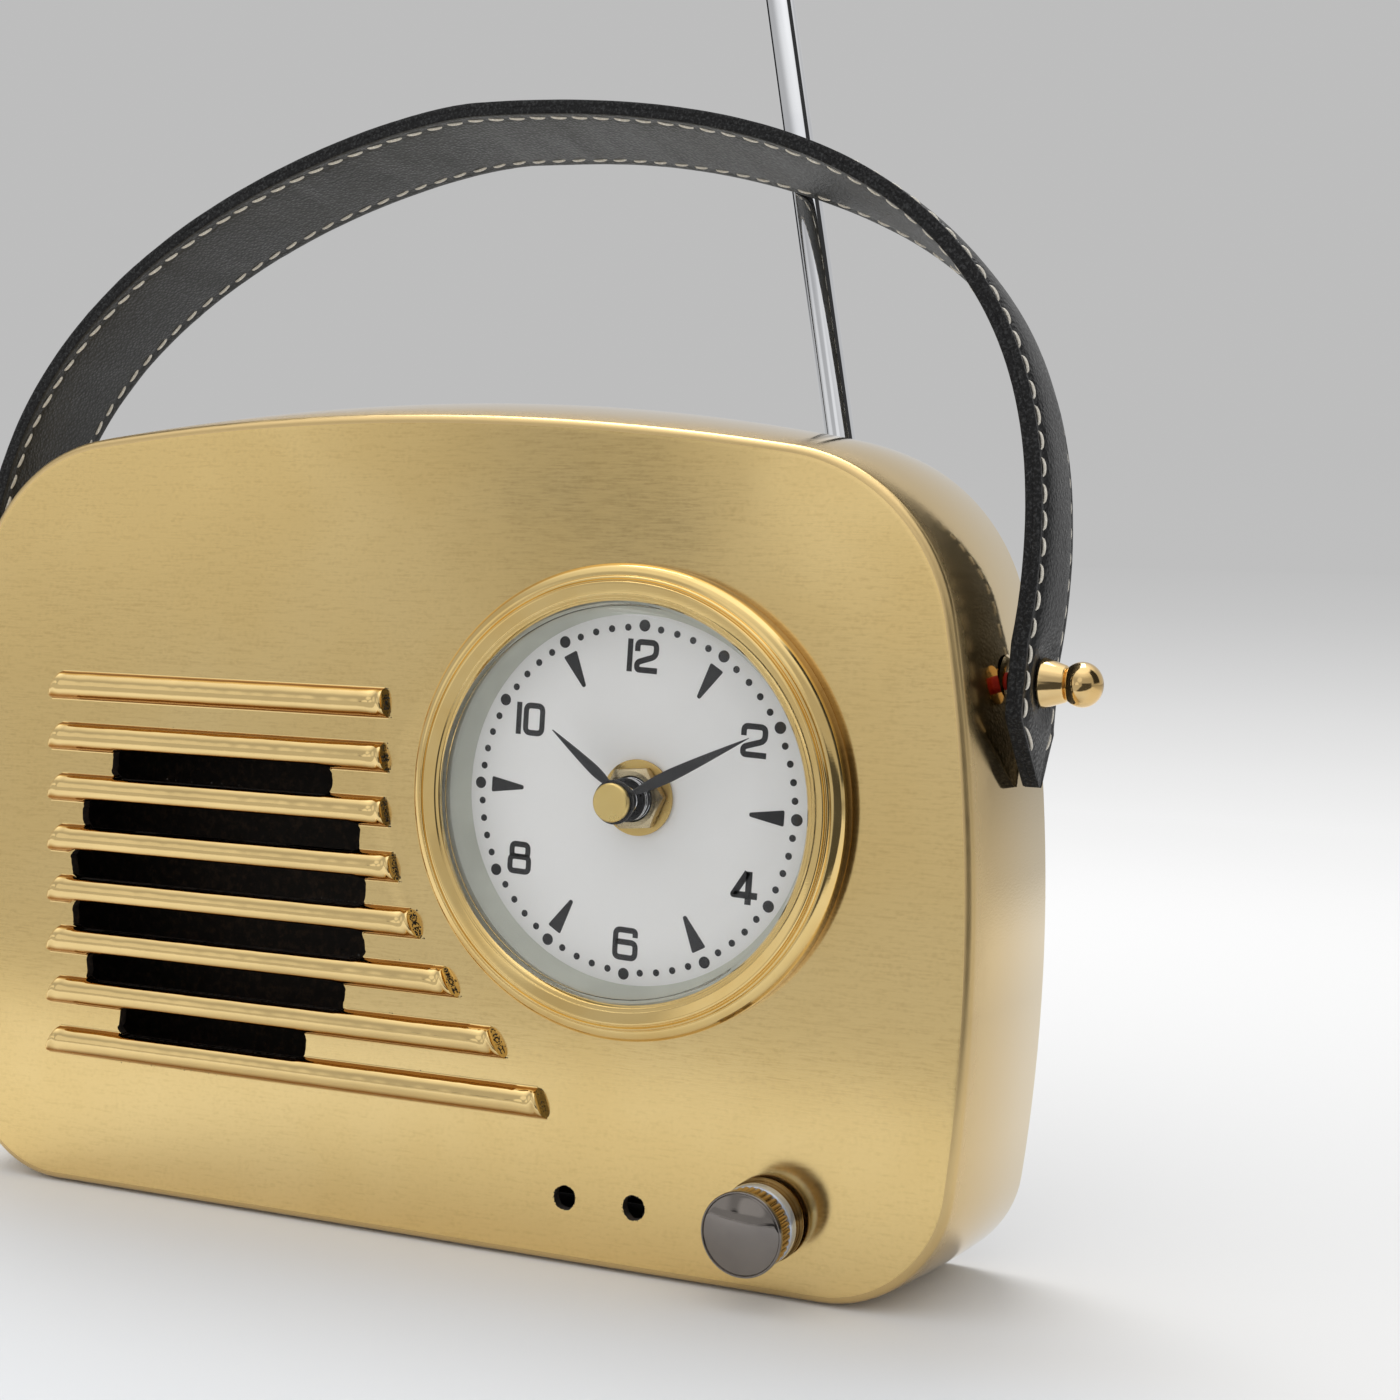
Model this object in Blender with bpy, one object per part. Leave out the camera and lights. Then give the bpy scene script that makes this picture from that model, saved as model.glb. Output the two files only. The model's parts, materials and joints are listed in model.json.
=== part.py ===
"""Table clock in the form of a small portable radio, in metres.

+Z is up and the dial faces -Y. The origin is on the surface that the clock stands on, under the
middle of the body. Sizes named ...HEIGHT are measured from the underside of the casting, sizes named
...DROP down from its top or from a middle, and sizes named ...DEPTH back from the front face.
"""

import math

import bmesh
import bpy
from mathutils import Vector

# Clearance between pieces that touch, and overrun of cutters
GAP = 0.0003
OVERRUN = 0.001

# Body casting
BODY_WIDTH = 0.2274
BODY_HEIGHT = 0.160
BODY_DEPTH = 0.038
SIDE_BOW_RADIUS = 0.350
SIDE_BOW_HEIGHT = 0.063
TOP_BOW_RADIUS = 0.560
TOP_BOW_REAR_RADIUS = 0.400
UPPER_CORNER_RADIUS = 0.037
LOWER_CORNER_RADIUS = 0.025
UPPER_CORNER_REAR_RADIUS = 0.0385
LOWER_CORNER_REAR_RADIUS = 0.0205
SIDE_FLARE = 0.0023
TOP_FLARE = 0.0044
CREASE = 0.0005
FACE_WALL = 0.0020
SIDE_WALL = 0.0018
BASE_PAD_THICKNESS = 0.0007
BASE_PAD_INSET = 0.004
BASE_PAD_MARGIN = 0.003

# Speaker grille: half-round bars and the slots between them
BAR_COUNT = 8
BAR_PITCH = 0.01066
BAR_WIDTH = 0.0055
TOP_BAR_HEIGHT = 0.1043
BAR_ROOT = 0.0005
BAR_END_SLANT = math.radians(30)
GRILLE_DIAL_GAP = 0.0087
SPEAKER_RADIUS = 0.0363
SPEAKER_HEIGHT = 0.0627
SLOT_MARGIN = 0.00015

# Two drilled holes under the dial
DRILLED_HOLE_RADIUS = 0.0024
DRILLED_HOLE_X = 0.0347
DRILLED_HOLE_SPACING = 0.0146
DRILLED_HOLE_HEIGHT = 0.0121

# Dial, bezel and glass, centred on the dial
DIAL_X = 0.0465
DIAL_HEIGHT = 0.0885
DIAL_RECESS = 0.0020
DIAL_RADIUS = 0.0385
DIAL_THICKNESS = 0.0008
BEZEL_RADIUS = 0.0443
BEZEL_TUBE_RADIUS = 0.0406
BEZEL_BORE_RADIUS = 0.0388
BEZEL_LIP_RADIUS = 0.03735
BEZEL_CREST = 0.0061
BEZEL_TUBE_DEPTH = 0.0046
BEZEL_LIP_THICKNESS = 0.0004
GLASS_RADIUS = 0.0384
GLASS_THICKNESS = 0.0014
GLASS_APEX = 0.0132
GLASS_FLANGE_HEIGHT = 0.0024
GLASS_SQUARENESS = 3.0
DIAL_RING_WIDTH = 0.0011
RETAINER_WIDTH = 0.0013
RETAINER_THICKNESS = 0.0012

# Hand shaft and what sits on it, from the dial forwards
SHAFT_SHIFT_X = 0.0010
SHAFT_SHIFT_HEIGHT = 0.0007
WASHER_RADIUS = 0.00715
WASHER_THICKNESS = 0.0008
NUT_ACROSS_FLATS = 0.0110
NUT_THICKNESS = 0.0022
NUT_TURN = math.radians(5)
BUSH_RADIUS = 0.00395
BUSH_WALL = 0.0011
BUSH_PROUD = 0.0018
BUSH_FLANGE_RADIUS = 0.0055
BUSH_FLANGE_THICKNESS = 0.0006
HOUR_TUBE_RADIUS = 0.0025
HOUR_TUBE_BORE_RADIUS = 0.0018
HOUR_TUBE_PROUD = 0.0006
MINUTE_ARBOR_RADIUS = 0.0015
HAND_THICKNESS = 0.0004
HAND_SPACING = 0.0043
HOUR_HAND_LENGTH = 0.0196
MINUTE_HAND_LENGTH = 0.0295
HOUR_HAND_WIDTH = 0.0024
MINUTE_HAND_WIDTH = 0.0024
HAND_ROOT_WIDTH = 0.0013
HAND_HUB_RADIUS = 0.0041
HAND_WIDEST_SHARE = 0.45
CAP_RADIUS = 0.0036
CAP_LENGTH = 0.0012
CAP_EDGE = 0.0003
CAP_BORE_DEPTH = 0.0006
DIAL_TURN = math.radians(2.42)
HOUR_ANGLE = math.radians(305.8) + DIAL_TURN
MINUTE_ANGLE = math.radians(61.1) + DIAL_TURN

# Quartz movement
MOVEMENT_HEIGHT = 0.0550
MOVEMENT_CORNER = 0.008
MOVEMENT_WALL = 0.0012
MOVEMENT_DEPTH = 0.0159
PARTITION_DROP = 0.0076
MID_PLATE_THICKNESS = 0.0010
BATTERY_RADIUS = 0.0071
BATTERY_LENGTH = 0.0495
BATTERY_BUTTON_RADIUS = 0.0027
BATTERY_BUTTON_LENGTH = 0.0010
CONTACT_THICKNESS = 0.0004
CONTACT_WIDTH = 0.0080
CONTACT_ROOM = 0.00085
GASKET_RADIUS = 0.0095
PIVOT_RADIUS = 0.0005
PIVOT_SINK = 0.0006

# Motion work: cannon pinion, minute wheel, hour wheel and setting pinion
MOTION_DISTANCE = 0.0084
MOTION_ANGLE = math.radians(300)
CANNON_TEETH = 12
MINUTE_WHEEL_TEETH = 36
MINUTE_PINION_TEETH = 10
HOUR_WHEEL_TEETH = 40
WHEEL_THICKNESS = 0.0010
WHEEL_SPACING = 0.0006
ADDENDUM_SHARE = 0.90
DEDENDUM_SHARE = 1.20
TOOTH_ROOT_SHARE = 0.30
SETTING_ARBOR_RADIUS = 0.0009
SETTING_KNOB_RADIUS = 0.0060
SETTING_KNOB_LENGTH = 0.0020

# Coil, stator, rotor and circuit board
BOARD_WIDTH = 0.0240
BOARD_HEIGHT = 0.0080
BOARD_THICKNESS = 0.0008
BOARD_RISE = 0.0210
STATOR_WIDTH = 0.0250
STATOR_HEIGHT = 0.0070
STATOR_THICKNESS = 0.0008
STATOR_X = 0.0040
STATOR_RISE = 0.0125
COIL_RADIUS = 0.0026
COIL_LENGTH = 0.0130
COIL_CHEEK_THICKNESS = 0.0006
COIL_X = -0.0010
ROTOR_X = 0.0115
ROTOR_RADIUS = 0.0016
ROTOR_LENGTH = 0.0028
ROTOR_PINION_RADIUS = 0.0008

# Back plate
BACK_PLATE_THICKNESS = 0.0015
BACK_PLATE_RECESS = 0.0010
ACCESS_WIDTH = 0.0600
ACCESS_CORNER = 0.0060
BACK_BOSS_RADIUS = 0.0038
BACK_BOSS_BORE_RADIUS = 0.0014
BACK_BOSS_BORE_DEPTH = 0.0100
SCREW_RADIUS = 0.0011
SCREW_LENGTH = 0.0080
SCREW_HEAD_RADIUS = 0.0028
SCREW_HEAD_THICKNESS = 0.0014
SCREW_HEAD_EDGE = 0.0006
SCREW_SLOT_WIDTH = 0.0008
SCREW_SLOT_DEPTH = 0.0006
LOWER_SCREW_INSET = 0.0160
LOWER_SCREW_HEIGHT = 0.0180
UPPER_SCREW_INSET = 0.0240
UPPER_SCREW_DROP = 0.0200

# Strap handle and its ball studs
STUD_DROP = 0.0470
STUD_DEPTH = 0.0220
STUD_BOSS_RADIUS = 0.0052
STUD_BOSS_PROUD = 0.0009
STUD_SHANK_RADIUS = 0.0016
STUD_CONE_RADIUS = 0.00425
STUD_NECK_RADIUS = 0.00305
STUD_BALL_RADIUS = 0.00415
STUD_BALL_REACH = 0.0093
STUD_NUT_ACROSS_FLATS = 0.0070
STUD_NUT_THICKNESS = 0.0024
SPACER_RADIUS = 0.0046
STRAP_WIDTH = 0.0257
STRAP_LAYER = 0.0015
STRAP_STANDOFF = 0.00427
STRAP_RISE = 0.1108
STRAP_CROWN_SHIFT = -0.0067
STRAP_CROWN_PULLS = (0.0251, 0.0330)
STRAP_LEG_PULLS = (0.0863, 0.1056)
STRAP_LEG_BULGE = 0.0138
STRAP_FLAT = 0.0055
STRAP_TIP_DROP = 0.0185
STRAP_TAPER = 0.0105
STRAP_TIP_WIDTH = 0.0024
HANDLE_LEAN = math.radians(11.5)

# Front knob
KNOB_X = 0.0763
KNOB_HEIGHT = 0.0139
KNOB_RADIUS = 0.00785
KNOB_RIM = 0.0009
KNOB_DOME = 0.0009
KNOB_CAP_LENGTH = 0.0018
KNOB_BAND_LENGTH = 0.0036
KNOB_COLLAR_LENGTH = 0.0022
KNOB_BASE_LENGTH = 0.0024
KNOB_SHAFT_RADIUS = 0.0030
KNOB_FLUTES = 26
KNOB_FLUTE_DEPTH = 0.0003
KNOB_BUSH_RADIUS = 0.0044
KNOB_BUSH_LENGTH = 0.0060
KNOB_BUSH_FLANGE = 0.0006
KNOB_NUT_ACROSS_FLATS = 0.0110
KNOB_NUT_THICKNESS = 0.0020

# Rod aerial behind the body
AERIAL_X = 0.0733
AERIAL_DROP = 0.0172
AERIAL_STANDOFF = 0.0065
AERIAL_FOOT_RADIUS = 0.0070
AERIAL_FOOT_THICKNESS = 0.0018
AERIAL_SPIGOT_RADIUS = 0.0020
AERIAL_SWIVEL_RADIUS = 0.0055
AERIAL_SWIVEL_THICKNESS = 0.0016
AERIAL_CHEEK_THICKNESS = 0.0016
AERIAL_CHEEK_HALF_HEIGHT = 0.0032
AERIAL_LUG_THICKNESS = 0.0034
AERIAL_PIN_RADIUS = 0.0010
AERIAL_LEAN_LEFT = math.radians(14.6)
AERIAL_LEAN_BACK = math.radians(11.9)
AERIAL_RADII = (0.0026, 0.0021, 0.0015)
AERIAL_LUG_RADIUS = 0.0021
AERIAL_FIRST_LENGTH = 0.1300
AERIAL_SECOND_LENGTH = 0.1050
AERIAL_THIRD_LENGTH = 0.0950
AERIAL_SECOND_OUT = 0.0350
AERIAL_THIRD_OUT = 0.0250
AERIAL_TIP_RADIUS = 0.0029

# Face counts
ROUND = 40
MEDIUM_ROUND = 20
SMALL_ROUND = 14
TINY_ROUND = 10
STRAP_STATIONS = 22

# Places worked out from the sizes
FACE_Y = -BODY_DEPTH / 2
BODY_BASE = BASE_PAD_THICKNESS + GAP
FRONT_VIEW = (math.radians(90), 0.0, 0.0)
SHAFT_X = DIAL_X + SHAFT_SHIFT_X
SHAFT_HEIGHT = DIAL_HEIGHT + SHAFT_SHIFT_HEIGHT
BAR_REACH = BEZEL_RADIUS + GRILLE_DIAL_GAP
SPEAKER_X = -DIAL_X
GRILLE_LEFT = 2 * SPEAKER_X - (DIAL_X - BAR_REACH)
BACK_PLATE_FRONT = BODY_DEPTH - BACK_PLATE_RECESS - BACK_PLATE_THICKNESS
CASE_FRONT = BEZEL_TUBE_DEPTH + GAP
CASE_REAR = CASE_FRONT + MOVEMENT_DEPTH
MOVEMENT_WIDTH = BATTERY_LENGTH + 2 * (GAP + CONTACT_THICKNESS + CONTACT_ROOM + MOVEMENT_WALL)
STUD_HEIGHT = BODY_HEIGHT - STUD_DROP
AERIAL_HEIGHT = BODY_HEIGHT - AERIAL_DROP
STRAP_THICKNESS = 2 * STRAP_LAYER + GAP
MINUTE_MODULE = 2 * MOTION_DISTANCE / (CANNON_TEETH + MINUTE_WHEEL_TEETH)
HOUR_MODULE = 2 * MOTION_DISTANCE / (MINUTE_PINION_TEETH + HOUR_WHEEL_TEETH)


def clear_scene():
    for old in list(bpy.data.objects):
        bpy.data.objects.remove(old, do_unlink=True)


def finish(name, colour, roughness, metallic):
    """A plain material for a sub-part."""
    made = bpy.data.materials.new(name)
    made.use_nodes = True
    shader = made.node_tree.nodes["Principled BSDF"]
    shader.inputs["Base Color"].default_value = (*colour, 1.0)
    shader.inputs["Roughness"].default_value = roughness
    shader.inputs["Metallic"].default_value = metallic
    return made


def add_object(name, bm, material=None, place=(0, 0, 0), turn=(0, 0, 0), parent=None):
    """Makes an object of a bmesh, with outward faces and smooth round sides."""
    bmesh.ops.recalc_face_normals(bm, faces=bm.faces)
    mesh = bpy.data.meshes.new(name)
    bm.to_mesh(mesh)
    bm.free()
    mesh.shade_smooth()
    mesh.set_sharp_from_angle(angle=math.radians(35))
    if material:
        mesh.materials.append(material)
    made = bpy.data.objects.new(name, mesh)
    made.location = place
    made.rotation_euler = turn
    made.parent = parent
    bpy.context.scene.collection.objects.link(made)
    return made


def add_pivot(name, place, turn=(0, 0, 0), parent=None):
    pivot = bpy.data.objects.new(name, None)
    pivot.empty_display_size = BEZEL_RADIUS
    pivot.location = place
    pivot.rotation_euler = turn
    pivot.parent = parent
    bpy.context.scene.collection.objects.link(pivot)
    return pivot


def shape_with(target, operation, bm, place=(0, 0, 0), turn=(0, 0, 0), parent=None):
    """Adds a Boolean modifier whose second solid is kept as a hidden helper."""
    helper = add_object(f"{target.name}_{operation.lower()}", bm, None, place, turn, parent)
    helper.hide_render = True
    helper.display_type = "WIRE"
    modifier = target.modifiers.new(helper.name, "BOOLEAN")
    modifier.operation = operation
    modifier.object = helper


def front_place(x, height, depth=0.0):
    """World place of a point on the front view: x, height above the casting's underside, depth."""
    return (x, FACE_Y + depth, BODY_BASE + height)


def turned(profile, segments=ROUND, bm=None, at=(0, 0)):
    """A closed profile of (radius, height) points turned about the Z axis."""
    bm = bm or bmesh.new()
    centre = Vector((at[0], at[1], 0))
    ring = [bm.verts.new(centre + Vector((radius, 0, height))) for radius, height in profile]
    edges = [bm.edges.new((a, b)) for a, b in zip(ring, ring[1:] + ring[:1])]
    bmesh.ops.spin(
        bm, geom=ring + edges, cent=centre, axis=(0, 0, 1), angle=math.tau,
        steps=segments, use_merge=True,
    )
    bmesh.ops.dissolve_degenerate(bm, dist=GAP / 100, edges=bm.edges)
    bmesh.ops.remove_doubles(bm, verts=bm.verts, dist=GAP / 100)
    return bm


def prism(outline, low, high, bm=None):
    """An outline of (x, y) points extruded along Z."""
    bm = bm or bmesh.new()
    base = bm.faces.new([bm.verts.new((x, y, low)) for x, y in outline])
    raised = bmesh.ops.extrude_face_region(bm, geom=[base])["geom"]
    lifted = [item for item in raised if isinstance(item, bmesh.types.BMVert)]
    bmesh.ops.translate(bm, verts=lifted, vec=(0, 0, high - low))
    return bm


def arc(centre, radius, start, end, steps):
    """Points on an arc, angles measured from +X towards +Y."""
    angles = [start + (end - start) * step / steps for step in range(steps + 1)]
    return [(centre[0] + radius * math.cos(a), centre[1] + radius * math.sin(a)) for a in angles]


def circle(radius, segments=SMALL_ROUND, centre=(0, 0)):
    return arc(centre, radius, 0, math.tau, segments)[:-1]


def rounded_box(width, height, upper_corner, centre=(0, 0), lower_corner=None):
    """Outline of a rectangle with round corners, the lower two like the upper two if not given."""
    lower_corner = lower_corner or upper_corner
    corners = (
        (1, 1, upper_corner), (-1, 1, upper_corner), (-1, -1, lower_corner), (1, -1, lower_corner),
    )
    points = []
    for quarter, (sx, sy, corner) in enumerate(corners):
        middle = (
            centre[0] + sx * (width / 2 - corner),
            centre[1] + sy * (height / 2 - corner),
        )
        start = quarter * math.pi / 2
        points += arc(middle, corner, start, start + math.pi / 2, 5)
    return points


def box(low, high, bm=None):
    outline = [(low[0], low[1]), (high[0], low[1]), (high[0], high[1]), (low[0], high[1])]
    return prism(outline, low[2], high[2], bm)


def hexagon(across_flats, turn=0.0):
    radius = across_flats / math.sqrt(3)
    return arc((0, 0), radius, turn, turn + math.tau, 6)[:-1]


def clock_point(radius, angle, centre=(0, 0)):
    """A point at a clock angle, clockwise from twelve, on the front view."""
    return (centre[0] + radius * math.sin(angle), centre[1] + radius * math.cos(angle))


def circles_meet(centre_a, radius_a, centre_b, radius_b):
    """Where two circles cross, on the side with the larger x."""
    ax, az = centre_a
    bx, bz = centre_b
    span = math.dist(centre_a, centre_b)
    along = (span**2 + radius_a**2 - radius_b**2) / (2 * span)
    across = math.sqrt(max(radius_a**2 - along**2, 0.0))
    ux, uz = (bx - ax) / span, (bz - az) / span
    points = [
        (ax + along * ux - side * across * uz, az + along * uz + side * across * ux)
        for side in (1, -1)
    ]
    return max(points)


def body_outline(share, inset=0.0):
    """Outline of the body on the front view: share 0 at the face and 1 at the rear edge."""
    flare = math.sin(share * math.pi / 2)
    half = BODY_WIDTH / 2 + SIDE_FLARE * flare
    height = BODY_HEIGHT + TOP_FLARE * flare
    upper = UPPER_CORNER_RADIUS + (UPPER_CORNER_REAR_RADIUS - UPPER_CORNER_RADIUS) * share
    lower = LOWER_CORNER_RADIUS + (LOWER_CORNER_REAR_RADIUS - LOWER_CORNER_RADIUS) * share
    bow = TOP_BOW_RADIUS + (TOP_BOW_REAR_RADIUS - TOP_BOW_RADIUS) * share
    side = (half - SIDE_BOW_RADIUS, SIDE_BOW_HEIGHT)
    top = (0.0, height - bow)
    low_x = side[0] + math.sqrt((SIDE_BOW_RADIUS - lower) ** 2 - (lower - SIDE_BOW_HEIGHT) ** 2)
    low = (low_x, lower)
    high = circles_meet(side, SIDE_BOW_RADIUS - upper, top, bow - upper)
    low_angle = math.atan2(low[1] - side[1], low[0] - side[0])
    high_angle = math.atan2(high[1] - side[1], high[0] - side[0])
    top_angle = math.atan2(high[1] - top[1], high[0] - top[0])
    right = arc(low, lower - inset, -math.pi / 2, low_angle, 6)
    right += arc(side, SIDE_BOW_RADIUS - inset, low_angle, high_angle, 4)[1:]
    right += arc(high, upper - inset, high_angle, top_angle, 7)[1:]
    right += arc(top, bow - inset, top_angle, math.pi / 2, 4)[1:]
    left = [(-x, z) for x, z in reversed(right[:-1])]
    return right + left


def side_x(height, depth):
    """Half width of the body at a height on its bowed side."""
    flare = math.sin(depth / BODY_DEPTH * math.pi / 2)
    drop = height - SIDE_BOW_HEIGHT
    bow = math.sqrt(SIDE_BOW_RADIUS**2 - drop**2) - SIDE_BOW_RADIUS
    return BODY_WIDTH / 2 + SIDE_FLARE * flare + bow


def strap_stud_x():
    """Where the middle of the strap's thickness crosses the axis of the studs."""
    return side_x(STUD_HEIGHT, STUD_DEPTH) + STRAP_STANDOFF


def bar_end(height):
    """How far left of the dial's middle a bar ends, to follow the bezel round."""
    drop = DIAL_HEIGHT - height
    turn = BAR_REACH * math.sqrt(0.5)
    if drop <= 0:
        return BAR_REACH
    if drop < turn:
        return math.sqrt(BAR_REACH**2 - drop**2)
    return 2 * turn - drop


def body_rings(bm, inset, shares):
    """Rings of the body outline at shares of the depth, in the world frame."""
    rings = []
    for share in shares:
        y = FACE_Y + share * BODY_DEPTH
        ring = [bm.verts.new((x, y, BODY_BASE + z)) for x, z in body_outline(share, inset)]
        rings.append(ring)
    return rings


def bridge(bm, first, second):
    count = len(first)
    for i in range(count):
        j = (i + 1) % count
        bm.faces.new((first[i], first[j], second[j], second[i]))


def shell_mesh():
    """The hollow casting, open at the rear, before its bars and holes."""
    bm = bmesh.new()
    face = body_rings(bm, CREASE, (0.0,))[0]
    crease_share = CREASE / BODY_DEPTH
    outer = body_rings(bm, 0.0, (crease_share, 0.15, 0.35, 0.60, 1.0))
    inner = body_rings(bm, SIDE_WALL, (1.0, 0.5, FACE_WALL / BODY_DEPTH))
    loops = [face, *outer, *inner]
    for first, second in zip(loops, loops[1:]):
        bridge(bm, first, second)
    bm.faces.new(face)
    bm.faces.new(inner[-1])
    return bm


def half_round(left, right, height, bm):
    """A bar with a half-round section, its slanted ends cut square to the face."""
    radius = BAR_WIDTH / 2
    crown = arc((0, 0), radius, math.pi, 0, 7)
    section = [(-radius, -BAR_ROOT), *crown, (radius, -BAR_ROOT)]
    slant = math.tan(BAR_END_SLANT)
    ends = []
    for x, lean in ((left, slant), (right, -slant)):
        end = [bm.verts.new((x + lean * across, height + across, up)) for across, up in section]
        ends.append(end)
    bridge(bm, ends[0], ends[1])
    bm.faces.new(ends[0])
    bm.faces.new(ends[1])


def bar_heights():
    return [TOP_BAR_HEIGHT - BAR_PITCH * i for i in range(BAR_COUNT)]


def screw_places():
    """Places of the back plate screws on the front view."""
    low_x = BODY_WIDTH / 2 - LOWER_SCREW_INSET
    high_x = BODY_WIDTH / 2 - UPPER_SCREW_INSET
    high = BODY_HEIGHT - UPPER_SCREW_DROP
    pairs = ((low_x, LOWER_SCREW_HEIGHT), (high_x, high))
    return [(side * x, z) for x, z in pairs for side in (-1, 1)]


def add_body_shell(material):
    shell = add_object("body_shell", shell_mesh(), material)
    face_up = {"place": front_place(0, 0), "turn": FRONT_VIEW}

    bars = bmesh.new()
    for height in bar_heights():
        half_round(GRILLE_LEFT, DIAL_X - bar_end(height), height, bars)
    shape_with(shell, "UNION", bars, **face_up)

    bosses = bmesh.new()
    front, rear = -FACE_WALL / 2, -(BACK_PLATE_FRONT - GAP)
    bore_top = rear + BACK_BOSS_BORE_DEPTH
    for x, z in screw_places():
        profile = (
            (0, bore_top), (BACK_BOSS_BORE_RADIUS, bore_top), (BACK_BOSS_BORE_RADIUS, rear),
            (BACK_BOSS_RADIUS, rear), (BACK_BOSS_RADIUS, front), (0, front),
        )
        turned(profile, TINY_ROUND, bosses, (x, z))
    shape_with(shell, "UNION", bosses, **face_up)

    wall_x = side_x(STUD_HEIGHT, STUD_DEPTH)
    for side in (-1, 1):
        inside = wall_x - SIDE_WALL - STUD_BOSS_PROUD
        boss = prism(circle(STUD_BOSS_RADIUS), inside, wall_x + STUD_BOSS_PROUD)
        shape_with(
            shell, "UNION", boss, front_place(0, STUD_HEIGHT, STUD_DEPTH),
            (0, side * math.pi / 2, 0),
        )

    holes = bmesh.new()
    high, low = BAR_WIDTH + OVERRUN, -FACE_WALL - OVERRUN
    slot_half = (BAR_PITCH - BAR_WIDTH) / 2 - SLOT_MARGIN
    for height in bar_heights()[1:-1]:
        middle = height - BAR_PITCH / 2
        reach = math.sqrt(max(SPEAKER_RADIUS**2 - (middle - SPEAKER_HEIGHT) ** 2, 0.0))
        ends = reach - slot_half
        outline = arc((SPEAKER_X + ends, middle), slot_half, -math.pi / 2, math.pi / 2, 4)
        outline += arc((SPEAKER_X - ends, middle), slot_half, math.pi / 2, 1.5 * math.pi, 4)
        prism(outline, low, high, holes)
    dial_hole = circle(BEZEL_TUBE_RADIUS + GAP, ROUND, (DIAL_X, DIAL_HEIGHT))
    prism(dial_hole, low, high, holes)
    for i in range(2):
        place = (DRILLED_HOLE_X + i * DRILLED_HOLE_SPACING, DRILLED_HOLE_HEIGHT)
        prism(circle(DRILLED_HOLE_RADIUS, SMALL_ROUND, place), low, high, holes)
    prism(circle(KNOB_BUSH_RADIUS + GAP, SMALL_ROUND, (KNOB_X, KNOB_HEIGHT)), low, high, holes)
    shape_with(shell, "DIFFERENCE", holes, **face_up)

    stud_hole = prism(circle(STUD_SHANK_RADIUS + GAP, SMALL_ROUND), -BODY_WIDTH, BODY_WIDTH)
    shape_with(
        shell, "DIFFERENCE", stud_hole, front_place(0, STUD_HEIGHT, STUD_DEPTH), (0, math.pi / 2, 0)
    )


def add_base_pad(material):
    half = BODY_WIDTH / 2 - LOWER_CORNER_RADIUS - BASE_PAD_MARGIN
    depth = BODY_DEPTH / 2 - BASE_PAD_INSET
    pad = prism(rounded_box(2 * half, 2 * depth, BASE_PAD_INSET), 0, BASE_PAD_THICKNESS)
    add_object("base_pad", pad, material)


def add_back_plate(material):
    share = BACK_PLATE_FRONT / BODY_DEPTH
    outline = body_outline(share, SIDE_WALL + GAP)
    plate = add_object(
        "back_plate", prism(outline, -BACK_PLATE_FRONT - BACK_PLATE_THICKNESS, -BACK_PLATE_FRONT),
        material, front_place(0, 0), FRONT_VIEW,
    )
    holes = bmesh.new()
    low, high = -BODY_DEPTH - OVERRUN, -BACK_PLATE_FRONT + OVERRUN
    access = rounded_box(ACCESS_WIDTH, ACCESS_WIDTH, ACCESS_CORNER, (SHAFT_X, SHAFT_HEIGHT))
    prism(access, low, high, holes)
    for place in screw_places():
        prism(circle(SCREW_RADIUS + GAP, TINY_ROUND, place), low, high, holes)
    spigot_hole = circle(AERIAL_SPIGOT_RADIUS + GAP, TINY_ROUND, (AERIAL_X, AERIAL_HEIGHT))
    prism(spigot_hole, low, high, holes)
    shape_with(plate, "DIFFERENCE", holes, front_place(0, 0), FRONT_VIEW)


def add_back_screws(material):
    seat = -(BODY_DEPTH - BACK_PLATE_RECESS) - GAP
    head = seat - SCREW_HEAD_THICKNESS
    profile = (
        (0, head), (SCREW_HEAD_RADIUS - SCREW_HEAD_EDGE, head),
        (SCREW_HEAD_RADIUS, head + SCREW_HEAD_EDGE), (SCREW_HEAD_RADIUS, seat), (SCREW_RADIUS, seat),
        (SCREW_RADIUS, seat + SCREW_LENGTH), (0, seat + SCREW_LENGTH),
    )
    half_length = SCREW_HEAD_RADIUS + GAP
    half_width = SCREW_SLOT_WIDTH / 2
    for number, place in enumerate(screw_places(), 1):
        at = front_place(*place)
        screw = add_object(f"back_screw_{number}", turned(profile, TINY_ROUND), material, at, FRONT_VIEW)
        slot = box(
            (-half_length, -half_width, head - SCREW_SLOT_DEPTH),
            (half_length, half_width, head + SCREW_SLOT_DEPTH),
        )
        shape_with(screw, "DIFFERENCE", slot, at, FRONT_VIEW)


def add_front_turned(name, profile, material, at, segments=ROUND, parent=None):
    """A turned piece whose axis runs straight back, drawn with height towards the viewer."""
    place = front_place(*at) if parent is None else (0, 0, 0)
    turn = FRONT_VIEW if parent is None else (0, 0, 0)
    return add_object(name, turned(profile, segments), material, place, turn, parent)


def dome(radius, low, apex, steps=5):
    """Profile of a glass dome with steep sides, from its rim to its middle."""
    power = 2 / GLASS_SQUARENESS
    angles = [math.pi / 2 * i / steps for i in range(steps)]
    rise = apex - low
    sides = [(radius * math.cos(a) ** power, low + rise * math.sin(a) ** power) for a in angles]
    return [*sides, (0, apex)]


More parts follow.
